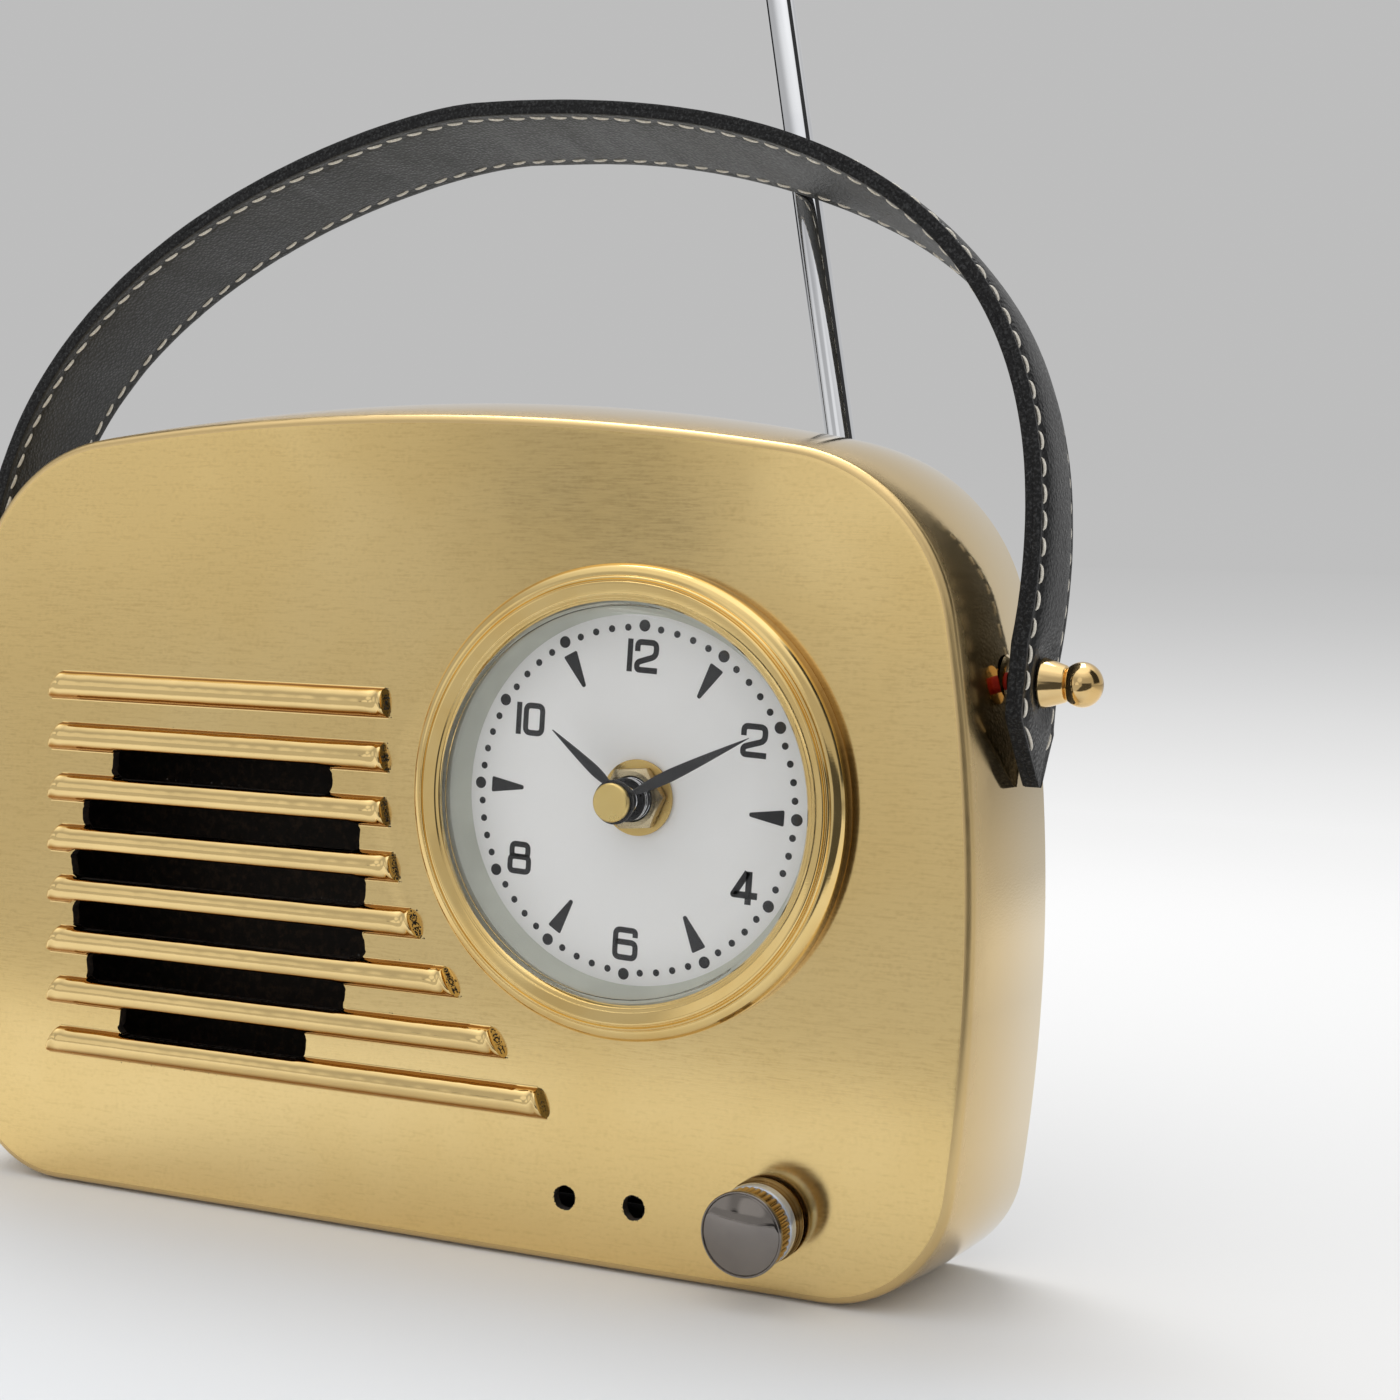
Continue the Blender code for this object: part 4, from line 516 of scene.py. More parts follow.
M = {
    "face": satin_face(),
    "wall": gold_wall(),
    "bar": bar_brass(),
    "bezel": bezel_brass(),
    "stud": polished("stud_brass", (0.82, 0.59, 0.28), (0.72, 0.48, 0.19), 0.05, 0.12, 0.00002, 200.0),
    "cap": polished("cap_brass", (0.78, 0.59, 0.23), (0.72, 0.53, 0.19), 0.27, 0.36, 1e-5, 300.0, 8e-6),
    "nut": polished("nut_brass", (0.56, 0.47, 0.30), (0.36, 0.26, 0.13), 0.22, 0.40, 0.00004, 500.0),
    "washer": polished("washer_brass", (0.66, 0.47, 0.17), (0.54, 0.36, 0.11), 0.25, 0.38, 1e-5, 300.0, 8e-6),
    # painted shade: the knurled band and the foot are very dark brass, which also darkens the knob's mirror
    # image in the face
    "knurl": polished("knurl_brass", (0.42, 0.285, 0.115), (0.27, 0.17, 0.06), 0.12, 0.22, 0.00002, 400.0),
    "foot": polished("foot_brass", (0.24, 0.155, 0.06), (0.15, 0.09, 0.03), 0.14, 0.24, 0.00002, 400.0),
    "chrome": polished("chrome", (0.80, 0.81, 0.83), (0.74, 0.75, 0.78), 0.02, 0.06, 4e-6, 90.0, 8e-7),
    # painted reflection: a pale bluish, part-matt finish stands in for the chrome collar's bright reflections
    "ring_chrome": painted("ring_chrome", (0.46, 0.50, 0.58), 0.10, 0.05, 1200.0, 0.000002, 0.6),
    "nickel": polished("black_nickel", (0.24, 0.215, 0.195), (0.20, 0.18, 0.165), 0.03, 0.07, 0.00001, 160.0),
    "steel": polished("zinc_steel", (0.60, 0.60, 0.59), (0.48, 0.48, 0.47), 0.25, 0.38, 0.00002, 300.0),
    # painted shade: the raw inside of the casting is near-black brown, the shade of the closed interior; the
    # back plate shares it
    "inside": rough_dark("raw_inside_painted_shade", (0.010, 0.006, 0.003), 0.85, 700.0, 0.0001, (0.040, 0.022, 0.010)),
    "pit": rough_dark("casting_pit", (0.008, 0.007, 0.006), 0.75, 2500.0, 0.00005, (0.05, 0.045, 0.035)),
    "leather": leather(
        "black_leather", (0.005, 0.005, 0.0055), (0.009, 0.009, 0.0095), 0.33, 1250.0, 0.00024, 0.0001
    ),
    "lining": leather(
        "lining_leather", (0.020, 0.021, 0.019), (0.034, 0.035, 0.032), 0.40, 1500.0, 0.0002, 0.0007
    ),
    "edge": rough_dark("cut_leather", (0.004, 0.004, 0.0045), 0.95, 1900.0, 0.00026, (0.040, 0.041, 0.042)),
    "thread": rough_dark("waxed_thread", (0.60, 0.56, 0.48), 0.6, 2300.0, 0.00008, (0.86, 0.83, 0.76)),
    "dial": dial_lacquer(),
    "print": painted("dial_print", (0.022, 0.022, 0.024), 0.55, 0.25, 2200.0),
    "hand": painted("hand_black", (0.022, 0.023, 0.025), 0.5, 0.2, 1800.0),
    "hub": painted("hub_black", (0.010, 0.010, 0.011), 0.3, 0.2, 1200.0),
    "ring": painted("dial_ring", (0.62, 0.64, 0.56), 0.35, 0.12, 900.0),
    "glass": glass(),
    "plastic": painted("black_plastic", (0.010, 0.0095, 0.009), 0.5, 0.1, 1100.0, 0.00003),
    "rubber": painted("black_rubber", (0.02, 0.02, 0.02), 0.8, 0.1, 900.0, 0.00003),
    "nylon": painted("white_nylon", (0.72, 0.71, 0.66), 0.5, 0.05),
    "fibre": rough_dark("red_fibre", (0.42, 0.012, 0.012), 0.7, 1500.0, 0.00005, (0.55, 0.03, 0.02)),
    "board": painted("board_green", (0.015, 0.10, 0.04), 0.35, 0.2, 500.0),
    "copper": winding(),
    "felt": rough_dark("base_felt", (0.10, 0.10, 0.10), 0.98, 3000.0, 0.0002, (0.16, 0.16, 0.16)),
    "battery": battery_wrap(),
}
SLOT_LOOKS = {
    "gold_casting": "wall", "polished_brass": "cap", "clear_glass": "glass", "dial_print": "dial",
    "black_plastic": "plastic", "black_rubber": "rubber", "hand_black": "hand", "steel": "steel",
    "white_nylon": "nylon", "chrome": "chrome", "dark_nickel": "nickel", "black_leather": "leather",
    "lining_leather": "lining", "red_fibre": "fibre", "board_green": "board", "copper_wire": "copper",
    "base_felt": "felt",
}
OWN_LOOKS = {
    "back_plate": "inside", "dial_ring": "ring", "battery": "battery", "dial_retainer": "steel",
    "minute_arbor": "chrome",
}
SLOTS = {part["node"]: part["material_slot"] for part in frame["record"]["subparts"]}
for name, slot in SLOTS.items():
    mesh = frame["nodes"][name].data
    mesh.materials.clear()
    mesh.materials.append(M[OWN_LOOKS.get(name) or SLOT_LOOKS[slot]])


# Body casting


def flare(share):
    """How far the sides have flared at a share of the depth."""
    return 1 - (1 - share) ** 2.2


def side_x(height, depth):
    """Half the body's width at a height and a depth."""
    drop = height - BELLY
    return HALF_WIDTH + FLARE * flare(depth / DEPTH) + math.sqrt(SIDE_BOW**2 - drop**2) - SIDE_BOW


def circles_meet(a, ra, b, rb):
    """The right one of the points where two circles cross."""
    span = math.dist(a, b)
    along = (span**2 + ra**2 - rb**2) / (2 * span)
    across = math.sqrt(max(ra**2 - along**2, 0.0))
    ux, uz = (b[0] - a[0]) / span, (b[1] - a[1]) / span
    return max((a[0] + along * ux - s * across * uz, a[1] + along * uz + s * across * ux) for s in (1, -1))


def outline(share, inset=0.0):
    """The body's outline on the front view at a share of its depth."""
    half, height = HALF_WIDTH + FLARE * flare(share), 0.160 + 0.0044 * flare(share)
    upper, lower = 0.037 + 0.0015 * share, 0.025 - 0.0045 * share
    bow = 0.560 - 0.160 * share
    side, top = (half - SIDE_BOW, BELLY), (0.0, height - bow)
    low = (side[0] + math.sqrt((SIDE_BOW - lower) ** 2 - (lower - BELLY) ** 2), lower)
    high = circles_meet(side, SIDE_BOW - upper, top, bow - upper)
    turns = [math.atan2(b[1] - a[1], b[0] - a[0]) for a, b in ((side, low), (side, high), (top, high))]
    turns = [-math.pi / 2, *turns, math.pi / 2]
    right = []
    arcs = ((low, lower, 16), (side, SIDE_BOW, 22), (high, upper, 24), (top, bow, 22))
    for (centre, radius, steps), start, end in zip(arcs, turns, turns[1:]):
        right += arc(centre, radius - inset, start, end, steps)[bool(right) :]
    return right + [(-x, z) for x, z in reversed(right[:-1])]


def lowered(z):
    """Height of a point of the casting; its lower rim reaches down to narrow the gap over the floor."""
    return BASE + z - 0.0004 * (1 - ease(clamp(z / 0.010)))


def slot_outline(number):
    """The slot under a bar, with the ragged ends of a hand-filed casting, in millimetres."""
    middle = BARS[number] - BAR_PITCH / 2
    reach = math.sqrt(GRILLE_REACH**2 - (middle - GRILLE_MIDDLE) ** 2) / MM - SLOT_REACH
    points = []
    for side in (1, -1):
        for k in range(25):
            angle = -math.pi / 2 + math.pi * k / 24
            x, z = (math.copysign(abs(share) ** 0.62, share) for share in (math.cos(angle), math.sin(angle)))
            x *= 1 + 0.30 * waver(number * 7.3, angle * 1.3, side) + 0.10 * waver(number, angle * 5, side)
            z *= 1 + 0.02 * waver(number * 3.1, angle * 4, side)
            far = reach + (SLOT_ENDS[number - 1] if side > 0 else 0.0)
            points.append((side * (far + SLOT_REACH * x) - DIAL[0] / MM, side * SLOT_HALF * z))
    return [(x, z + middle / MM + 0.1) for x, z in points]


STUD_WALL = side_x(0.113, 0.022)
GRILLE = [slot_outline(number) for number in range(1, 7)]


def drilled(x, z, seed):
    """The uneven edge of a drilled hole, in millimetres."""
    edge = []
    for ux, uz in circle((0, 0), 1, 40):
        radius = DRILL_HOLE * (1 + 0.10 * waver(ux * 1.6, uz * 1.6, seed))
        radius -= 0.22 * max(0.0, waver(ux * 6, uz * 6, seed))
        edge.append((x / MM + radius * ux, z / MM + radius * uz))
    return edge


def casting():
    """The shell with its openings: a brushed face, polished walls and a raw inside coloured near-black brown
    as painted shade.
    """
    bm = bmesh.new()
    crease, inner = 0.0014, 0.0018

    def ring(depth, inset):
        points = outline(depth / DEPTH, inset)
        points = [(x, BASE + z if inset == inner else lowered(z)) for x, z in points]
        return [bm.verts.new((x, FACE_Y + depth, height)) for x, height in points]

    turns = (0, 0.26, 0.52, 0.79, 1.05, 1.31, math.pi / 2)
    shares = (0.055, 0.075, 0.1, 0.16, 0.24, 0.33, 0.43, 0.54, 0.65, 0.76, 0.87, 0.97)
    loops = [ring(0.0, 0.0022)]
    loops += [ring(crease * (1 - math.cos(a)), crease * (1 - math.sin(a))) for a in turns]
    loops += [ring(DEPTH * share, 0.0) for share in shares]
    loops += [ring(DEPTH - 0.0001, 0.00002), ring(DEPTH, 0.00025), ring(DEPTH, 0.0016)]
    loops += [ring(DEPTH - 0.0002, inner)] + [ring(DEPTH * share, inner) for share in (0.8, 0.5, 0.25)]
    loft(bm, [*loops, ring(0.0020, inner)])
    body = add("casting", bm, [M["face"], M["wall"], M["inside"]], "clock", ["body_shell"])
    holes = bmesh.new()
    edges = [*GRILLE, circle([v / MM for v in DIAL], DIAL_HOLE, 96)]
    edges += [drilled(*place_at, seed) for place_at, seed in zip(DRILLED, (3.3, 8.1))]
    for edge in [*edges, circle([v / MM for v in KNOB], KNOB_HOLE, 40)]:
        prism(edge, facing(0, 0), -CUT, CUT, holes)
    carve(body, "DIFFERENCE", holes)
    carve(body, "DIFFERENCE", prism(circle((0, 0), STUD_HOLE, 24), stud_frame(1), -140, 140))
    rim = [Vector(point) for point in outline(0.0)]
    for polygon in body.data.polygons:
        (x, y, z), normal = polygon.center, polygon.normal
        if normal.y < -0.999 and y < FACE_Y + 1e-5:
            polygon.material_index = 0
            polygon.use_smooth = False
            continue
        # faces of the raw inside get the near-black brown painted shade
        raw = normal.y > 0.9 and y < 0.018
        raw = raw or abs(normal.y) < 0.5 and normal.dot(Vector((x, 0, z - 0.08))) < 0
        if not raw and y < -0.0168 and z > 0.006:
            raw = min((Vector((x, z - BASE)) - point).length for point in rim) > 0.004
        polygon.material_index = 2 if raw else 1
    body.data.set_sharp_from_angle(angle=math.radians(30))
    bosses = bmesh.new()
    wall = STUD_WALL / MM
    face = wall + 0.3
    profile = [(4.9, wall - 0.4), (4.4, wall + 0.05), (3.9, face), (2.0, face), (2.0, wall - 1.0)]
    for side in (1, -1):
        lathe(soften(profile, 0.3), stud_frame(side), 48, False, bosses)
    add("stud_bosses", bosses, M["wall"], "clock")


def bar_slant(number):
    """Lean of a bar's filed end."""
    return math.tan(math.radians(BAR_LEANS[number]))


def bar_stop(number):
    """Where a bar ends on its right, in millimetres."""
    drop = DIAL[1] - BARS[number]
    turn = BEZEL_REACH * math.sqrt(0.5)
    if drop <= 0:
        stop = DIAL[0] - BEZEL_REACH
    elif drop < turn:
        stop = DIAL[0] - math.sqrt(BEZEL_REACH**2 - drop**2)
    else:
        stop = DIAL[0] - 2 * turn + drop
    return stop / MM - (0.8 if number == 7 else 0.0)


def crossings(points, x):
    """The heights at which a slot's outline passes x."""
    heights = []
    for (ax, az), (bx, bz) in zip(points, points[1:] + points[:1]):
        if (ax <= x) != (bx <= x):
            heights.append(az + (bz - az) * (x - ax) / (bx - ax))
    return heights


def bars():
    """Eight half-round bars with worn crests and slanted, filed ends, trimmed by the slots."""
    bm = bmesh.new()
    skirt = [(BAR_RADIUS + out, up) for out, up in ((0.04, 0.24), (0.2, 0.06), (0.42, 0.0), (0.42, -0.3))]
    stops = [0.0, 0.1, 0.22, 0.4, 0.65, 0.95, 1.3, 1.7, 2.2, 2.8, 3.6]
    for number, height in enumerate(BARS):
        under = GRILLE[number - 1] if 1 <= number <= 6 else []
        over = GRILLE[number - 2] if number >= 2 else []
        right, left, level = bar_stop(number), BAR_LEFT / MM, height / MM
        along = [left + s for s in stops] + [left + 5 + (right - left - 10) * k / 220 for k in range(221)]
        along += [right - s for s in reversed(stops)]
        rings = []
        for x in along:
            near = min(x - left, right - x)
            at_right = right - x < x - left
            slant = (-bar_slant(number) if at_right else 0.5) * max(0.0, 1 - near / 6.0)
            sag = 0.09 * waver(x * 0.09, number * 5.1, 0.3) + 0.05 * waver(x * 0.3, number * 2.1, 9.3)
            dip = 0.42 * math.exp(-(((near - 1.9) / 0.95) ** 2)) * (1.0 if at_right else 0.4)
            lip = 0.10 * math.exp(-(((near - 0.5) / 0.35) ** 2))
            worn = 0.20 * max(0.0, 1 - near / 0.32) ** 1.5
            section = [(-across, up) for across, up in reversed(skirt)]
            for k in range(1, 20):
                a = math.pi - math.pi * k / 20
                across = BAR_RADIUS * math.cos(a) * (1 + 0.02 * waver(x * 0.2, a, number))
                up = BAR_HEIGHT * math.sin(a) ** 0.9 + (sag - dip + lip - worn) * math.sin(a)
                section.append((across, max(up, 0.02)))
            least = max(crossings(under, x), default=level - 9) - level
            most = min(crossings(over, x), default=level + 9) - level
            ring = []
            for across, up in section + skirt:
                kept = clamp(across, least, most)
                up = -1.75 if up < 0 and kept != across else min(up, BAR_TOP)
                ring.append(bm.verts.new(front((x + slant * kept) * MM, height + kept * MM, up * MM)))
            rings.append(ring)
        loft(bm, rings)
    add("grille_bars", bm, M["bar"], "clock", sharp=50)


def pad():
    """Felt under the base, set well back from the front edge."""
    edge = []
    for k, corner in enumerate(((80, 9), (-80, 9), (-80, -5), (80, -5))):
        edge += arc(corner, 4, math.pi / 2 * k, math.pi / 2 * (k + 1), 8)
    add("pad", prism(edge, Matrix.Identity(4), 0, 0.7), [M["felt"]], "clock", ["base_pad"])


def speck(bm, middle, normal, size, seed):
    """A ragged black pit of the casting."""
    normal = normal.normalized()
    side = normal.orthogonal().normalized()
    other = normal.cross(side)
    edge = []
    for k in range(7):
        a = math.tau * k / 7 + seed * 2.4
        reach = size * (0.75 + 0.5 * abs(waver(seed, k * 1.7, 4.4)))
        spoke = side * math.cos(a) + other * math.sin(a)
        edge.append(bm.verts.new(middle + spoke * reach - normal * size * 0.3))
    for up in (0.35, -0.5):
        skin(bm, edge, [bm.verts.new(middle + normal * size * up)])


# Rows of pits beside bars: bar, side, from x, to x, how many, how far from the bar's middle
PIT_ROWS = (
    (7, -1, -72, -40, 40, 2.95), (4, 1, -25, -7, 24, 2.9), (6, 1, -10, 2, 12, 2.9), (5, 1, -16, -2, 14, 2.9),
    (2, 1, -60, -40, 6, 2.9), (7, 1, -2, 14, 12, 2.9), (1, 1, -64, -40, 9, 2.9),
)


def pits():
    """Pits at the bars' filed ends, along some bars and round the drilled holes."""
    bm = bmesh.new()
    out = Vector((0, -1, 0))
    for number, amount in enumerate((30, 36, 34, 36, 42, 40, 30, 8)):
        height, right, slant = BARS[number], bar_stop(number), bar_slant(number)
        lean = math.atan(slant)
        way = Vector((math.cos(lean), 0, math.sin(lean)))
        for k in range(amount):
            a, b, c = (waver(number * 3.7 + 0.5, k * 1.31 + 0.2, s) for s in (0.7, 5.2, 9.9))
            across = 2.8 * clamp(2.3 * a, -1.0)
            x = right - slant * across + 0.05 + 1.3 * abs(b) + 0.9 * max(0.0, c) * (number > 3)
            size = (0.17 + 0.36 * abs(c)) * MM
            speck(bm, front(x * MM, height + across * MM), out, size, k + number * 50.5)
        for k in range(amount * 3 // 5):
            a, b, c = (waver(number * 2.2 + 7.5, k * 1.77 + 0.4, s) for s in (1.7, 4.2, 8.9))
            across = 2.35 * clamp(2.0 * a, -1.0)
            tall = math.sqrt(max(2.6**2 - across**2, 0.0)) - 0.35
            up = max(0.05, tall * min(1.0, 1.1 * abs(b)))
            point = front((right - slant * across) * MM, height + across * MM, up * MM)
            speck(bm, point + way * 0.00005, way, (0.20 + 0.40 * abs(c)) * MM, k + number * 31.5)
    for number, side, start, end, amount, away in PIT_ROWS:
        for k in range(amount):
            a, b = waver(number * 9.1, k * 1.91 + 0.3, 2.2), waver(number * 4.4, k * 2.3 + 0.6, 7.1)
            x = (start + (end - start) * (k + 0.5 + a) / amount) * MM
            across = side * (away + 0.5 * abs(b)) * MM
            size = (0.12 + 0.22 * abs(a + b)) * MM
            speck(bm, front(x, BARS[number] + across), out, size, k + number * 13.0)
    for hole, (x, z) in enumerate(DRILLED):
        for k in range(26):
            a = math.tau * (k + waver(k * 1.3, hole * 5.5, 0.2)) / 26
            reach = (2.3 + 0.3 * abs(waver(k * 2.1, hole * 3.3, 1.2))) * MM
            point = front(x + reach * math.cos(a), z + reach * math.sin(a))
            speck(bm, point, out, (0.16 + 0.3 * abs(waver(k * 3.3, hole, 5.0))) * MM, k + hole * 40.0)
    add("casting_pits", bm, M["pit"], "clock")


# Dial, bezel, glass and hands


def bezel():
    """Stepped ring round the glass."""
    profile = [
        (38.9, 4.1), (37.38, 4.1), (37.36, 4.55), (37.9, 5.34), (38.5, 5.32), (38.72, 5.50), (40.55, 6.08),
        (40.95, 5.95), (41.1, 5.36), (41.3, 5.36), (41.62, 5.72), (41.95, 5.5), (42.1, 5.02), (42.35, 5.04),
        (42.75, 4.92), (43.70, 4.42), (44.28, 3.60), (44.28, 0.06), (40.6, 0.02), (40.6, -4.6), (38.9, -4.6),
    ]
    reach = [0.1, 0.15, 0.35, 0.12, 0.12, 0.28, 0.12, 0.07, 0.08, 0.16, 0.10, 0.08, 0.10, 0.25, 0.4, 0.12]
    bm = lathe(soften(profile, [*reach, 0.1, 0.1, 0.1], 5), facing(*DIAL), 180, True)
    add("bezel_ring", bm, M["bezel"], "clock", ["bezel"], sharp=40)


def dome(radius, low, apex):
    """Half the section of a dome, from its rim to its top."""
    turns = [math.pi / 2 * (i / 26) ** 1.15 for i in range(26)]
    flat, rise = 2 / 3, apex - low
    return [(radius * math.cos(a) ** flat, low + rise * math.sin(a) ** flat) for a in turns] + [(0, apex)]


def crystal():
    """Domed glass with its rim."""
    outer = [(38.38, 2.42), (38.38, 3.78)] + dome(37.04, 3.8, 13.2)
    bm = lathe(outer + dome(36.45, 2.42, 12.65)[::-1], facing(*DIAL), 128, True)
    bmesh.ops.remove_doubles(bm, verts=bm.verts, dist=1e-6)
    add("domed_glass", bm, M["glass"], "clock", ["crystal"], sharp=40)


def ribbon(points, width, closed, matrix, bm):
    """A flat stroke of even width along points in millimetres."""
    count = len(points)
    rows = []
    for i, point in enumerate(points):
        at = Vector(point)
        back = Vector(points[i - 1]) if closed or i else at
        ahead = Vector(points[(i + 1) % count]) if closed or i < count - 1 else at
        first = (at - back).normalized() if (at - back).length else (ahead - at).normalized()
        last = (ahead - at).normalized() if (ahead - at).length else first
        way = (first + last).normalized()
        normal = Vector((-way.y, way.x))
        half = width / 2 / max(0.5, normal.dot(Vector((-first.y, first.x))))
        rows.append([vertex(bm, matrix, *(at + normal * half * s), 0) for s in (1, -1)])
    if closed:
        rows.append(rows[0])
    for a, b in zip(rows, rows[1:]):
        bm.faces.new((a[0], a[1], b[1], b[0]))


def flat_face(points, matrix, bm):
    """One flat face in a frame."""
    bm.faces.new([vertex(bm, matrix, x, y, 0) for x, y in points])


# Width and corner size of each figure in millimetres, then its strokes: closed or not, and points
GLYPHS = {
    "0": (3.5, 1.05, [(True, [(0, 0), (0, 1), (1, 1), (1, 0)])]),
    "1": (0.0, 0.0, [(False, [(0, -0.09), (0, 1.09)])]),
    "2": (4.25, 1.0, [(False, [(0, 0.66), (0, 1), (1, 1), (1, 0.52), (0, 0.26), (0, 0), (1.1, 0)])]),
    "4": (4.3, 0.05, [
        (False, [(0.66, 1.06), (0, 0.24), (1.2, 0.24)]),
        (False, [(0.74, 1.09), (0.74, -0.09)]),
    ]),
    "6": (4.2, 1.0, [(False, [(0.97, 0.76), (0.97, 1), (0, 1), (0, 0), (1, 0), (1, 0.56), (0, 0.56)])]),
    "8": (4.0, 0.85, [
        (True, [(0, 0), (0, 0.54), (1, 0.54), (1, 0)]),
        (True, [(0.07, 0.54), (0.07, 1), (0.93, 1), (0.93, 0.54)]),
    ]),
}


def numeral(text, middle, matrix, bm):
    """A number of the dial, drawn in even strokes."""
    tall, stroke, apart = 5.2, 1.1, 0.42
    wide = {letter: GLYPHS[letter][0] for letter in text}
    if text == "12":
        wide["2"] = 3.85
    x = middle[0] - (sum(wide[c] + stroke for c in text) + apart * (len(text) - 1)) / 2
    for letter in text:
        squeeze, heavy = (0.92, 1.15) if letter == "4" else (1.0, 1.0)
        for closed, shape in GLYPHS[letter][2]:
            left, span = x + stroke / 2, wide[letter] * squeeze
            points = [(left + px * span, middle[1] + (py - 0.5) * tall) for px, py in shape]
            if letter != "1":
                points = (soft_loop if closed else soften)(points, GLYPHS[letter][1], 5)
            ribbon(points, stroke * heavy, closed, matrix, bm)
        x += wide[letter] + stroke + apart


def dial():
    """Dial plate, the ring round it, and its dots, wedges and numbers."""
    bm = lathe([(0, -2.0), (38.3, -2.0), (38.45, -2.1), (38.45, -2.75), (0, -2.75)], facing(*DIAL), 128)
    add("dial_face", bm, M["dial"], "clock", ["dial_plate"])
    ring = [(34.85, -1.97), (35.1, -1.75), (36.4, 1.4), (37.2, 2.3), (38.4, 2.33), (38.4, -1.97)]
    bm = lathe(ring, facing(*DIAL), 144, True)
    add("reflector_ring", bm, M["ring"], "clock", ["dial_ring"])
    bm = bmesh.new()
    flat = facing(*DIAL, -1.97 * MM) @ Matrix.Rotation(-DIAL_TURN, 4, "Z")
    for minute in range(60):
        angle = math.tau * minute / 60
        size, radius = (0.66, 32.4) if minute % 5 else (1.12, 32.8)
        flat_face(circle((radius * math.sin(angle), radius * math.cos(angle)), size, 24), flat, bm)
    for hour in range(1, 13, 2):
        angle = math.tau * hour / 12
        out, across = Vector((math.sin(angle), math.cos(angle))), Vector((math.cos(angle), -math.sin(angle)))
        corners = [(23.45, -0.36), (30.35, -1.52), (30.35, 1.52), (23.45, 0.36)]
        flat_face(soft_loop([tuple(out * r + across * w) for r, w in corners], 0.42, 5), flat, bm)
    for hour in (12, 2, 4, 6, 8, 10):
        angle = math.tau * (hour % 12) / 12
        radius = 26.35 if hour == 10 else 27.1
        numeral(str(hour), (radius * math.sin(angle), radius * math.cos(angle)), flat, bm)
    add("dial_marks", bm, M["print"], "clock")


def hand(name, body, hub_hole, length, angle, up, width, node_name):
    """A slim leaf-shaped hand with a hub."""
    bm = bmesh.new()
    turned = facing(*SHAFT) @ Matrix.Rotation(-angle, 4, "Z")
    start, widest, high = 3.6, length * 0.42, up + 0.4
    rings = []
    for k in range(27):
        y = start + (length - start) * (k / 26)
        if y < widest:
            t = (y - start) / (widest - start)
            half = 0.30 + (width / 2 - 0.30) * (t * (2 - t))
        else:
            t = (y - widest) / (length - widest)
            half = 0.05 + (width / 2 - 0.05) * (1 - t**1.35)
        right = [(half * 0.72, high), (half, high - 0.12), (half, up + 0.04)]
        section = [(-x, z) for x, z in reversed(right)] + right
        rings.append([vertex(bm, turned, x, y, z) for x, z in section])
    loft(bm, rings)
    profile = [(hub_hole, up + 0.02), (HUB, up + 0.02), (HUB, high), (hub_hole, high)]
    lathe(soft_loop(profile, 0.08, 3), turned, 64, True, bm)
    made = add(name, bm, [M["hand"], M["hub"]], body, [node_name])
    for polygon in made.data.polygons:
        middle = polygon.center - front(*SHAFT)
        polygon.material_index = int(math.hypot(middle.x, middle.z) < (HUB + 0.05) * MM)


def shaft_stack():
    """Washer, nut, threaded bush, cap and tube ends in the dial's middle."""
    at = facing(*SHAFT)
    washer = soft_loop([(4.2, -1.7), (7.15, -1.7), (7.15, -0.9), (4.2, -0.9)], 0.15, 3)
    add("brass_washer", lathe(washer, at, 96, True), M["washer"], "clock", ["shaft_washer"])
    turn = math.radians(5)
    hexagon = arc((0, 0), 11 / math.sqrt(3), turn, turn + math.tau, 6)[:-1]
    nut = prism(hexagon, at, -0.6, 1.6)
    nut = add("shaft_hex_nut", nut, M["nut"], "clock", ["shaft_nut"], 20)
    edge = [(0, 1.6), (5.15, 1.6), (6.5, 0.82), (6.5, -0.2), (6.0, -0.6), (0, -0.6)]
    carve(nut, "INTERSECT", lathe(edge, at, 96))
    carve(nut, "DIFFERENCE", lathe([(0, 2.4), (4.75, 2.4), (4.15, 1.2), (4.15, -1.4), (0, -1.4)], at, 64))
    nut.data.shade_smooth()
    nut.data.set_sharp_from_angle(angle=math.radians(18))
    top, pitch = 3.3, 0.62
    threads = [(2.85, -7.0), (2.85, top), (3.05, 3.4), (3.6, 3.4)]
    for k in range(72):
        up = top - 4.4 * k / 71
        threads.append((3.80 + 0.145 * math.cos(math.tau * (up - top) / pitch + math.pi), up))
    threads += [(3.7, -1.2), (3.7, -7.0)]
    add("threaded_bush", lathe(threads, at, 72, True), M["hub"], "clock", ["shaft_bush"], 60)
    crests = bmesh.new()
    for up in (3.28, 2.66, 1.42):
        lathe(circle((3.9, up), 0.10, 10), at, 72, True, crests)
    add("thread_crests", crests, M["chrome"], "clock")
    cap = [(1.85, 9.72), (1.85, 9.12), (3.55, 9.12), (3.6, 9.2), (3.6, 9.98), (3.28, 10.3), (0, 10.3)]
    bm = lathe([(0, 9.72), *soften(cap, 0.06, 3)], at)
    add("hand_cap", bm, M["cap"], "minute", ["shaft_cap"])
    collar = [(1.9, 4.72), (2.3, 4.72), (2.75, 4.72), (2.82, 4.62), (2.82, 4.2), (1.9, 4.2)]
    add("hour_tube_end", lathe(collar, at, 64, True), M["chrome"], "hour")
    sleeve = [(1.6, 4.9), (2.35, 4.9), (2.35, 8.5), (1.6, 8.5)]
    add("minute_sleeve", lathe(sleeve, at, 48, True), M["hub"], "minute")


# Knob


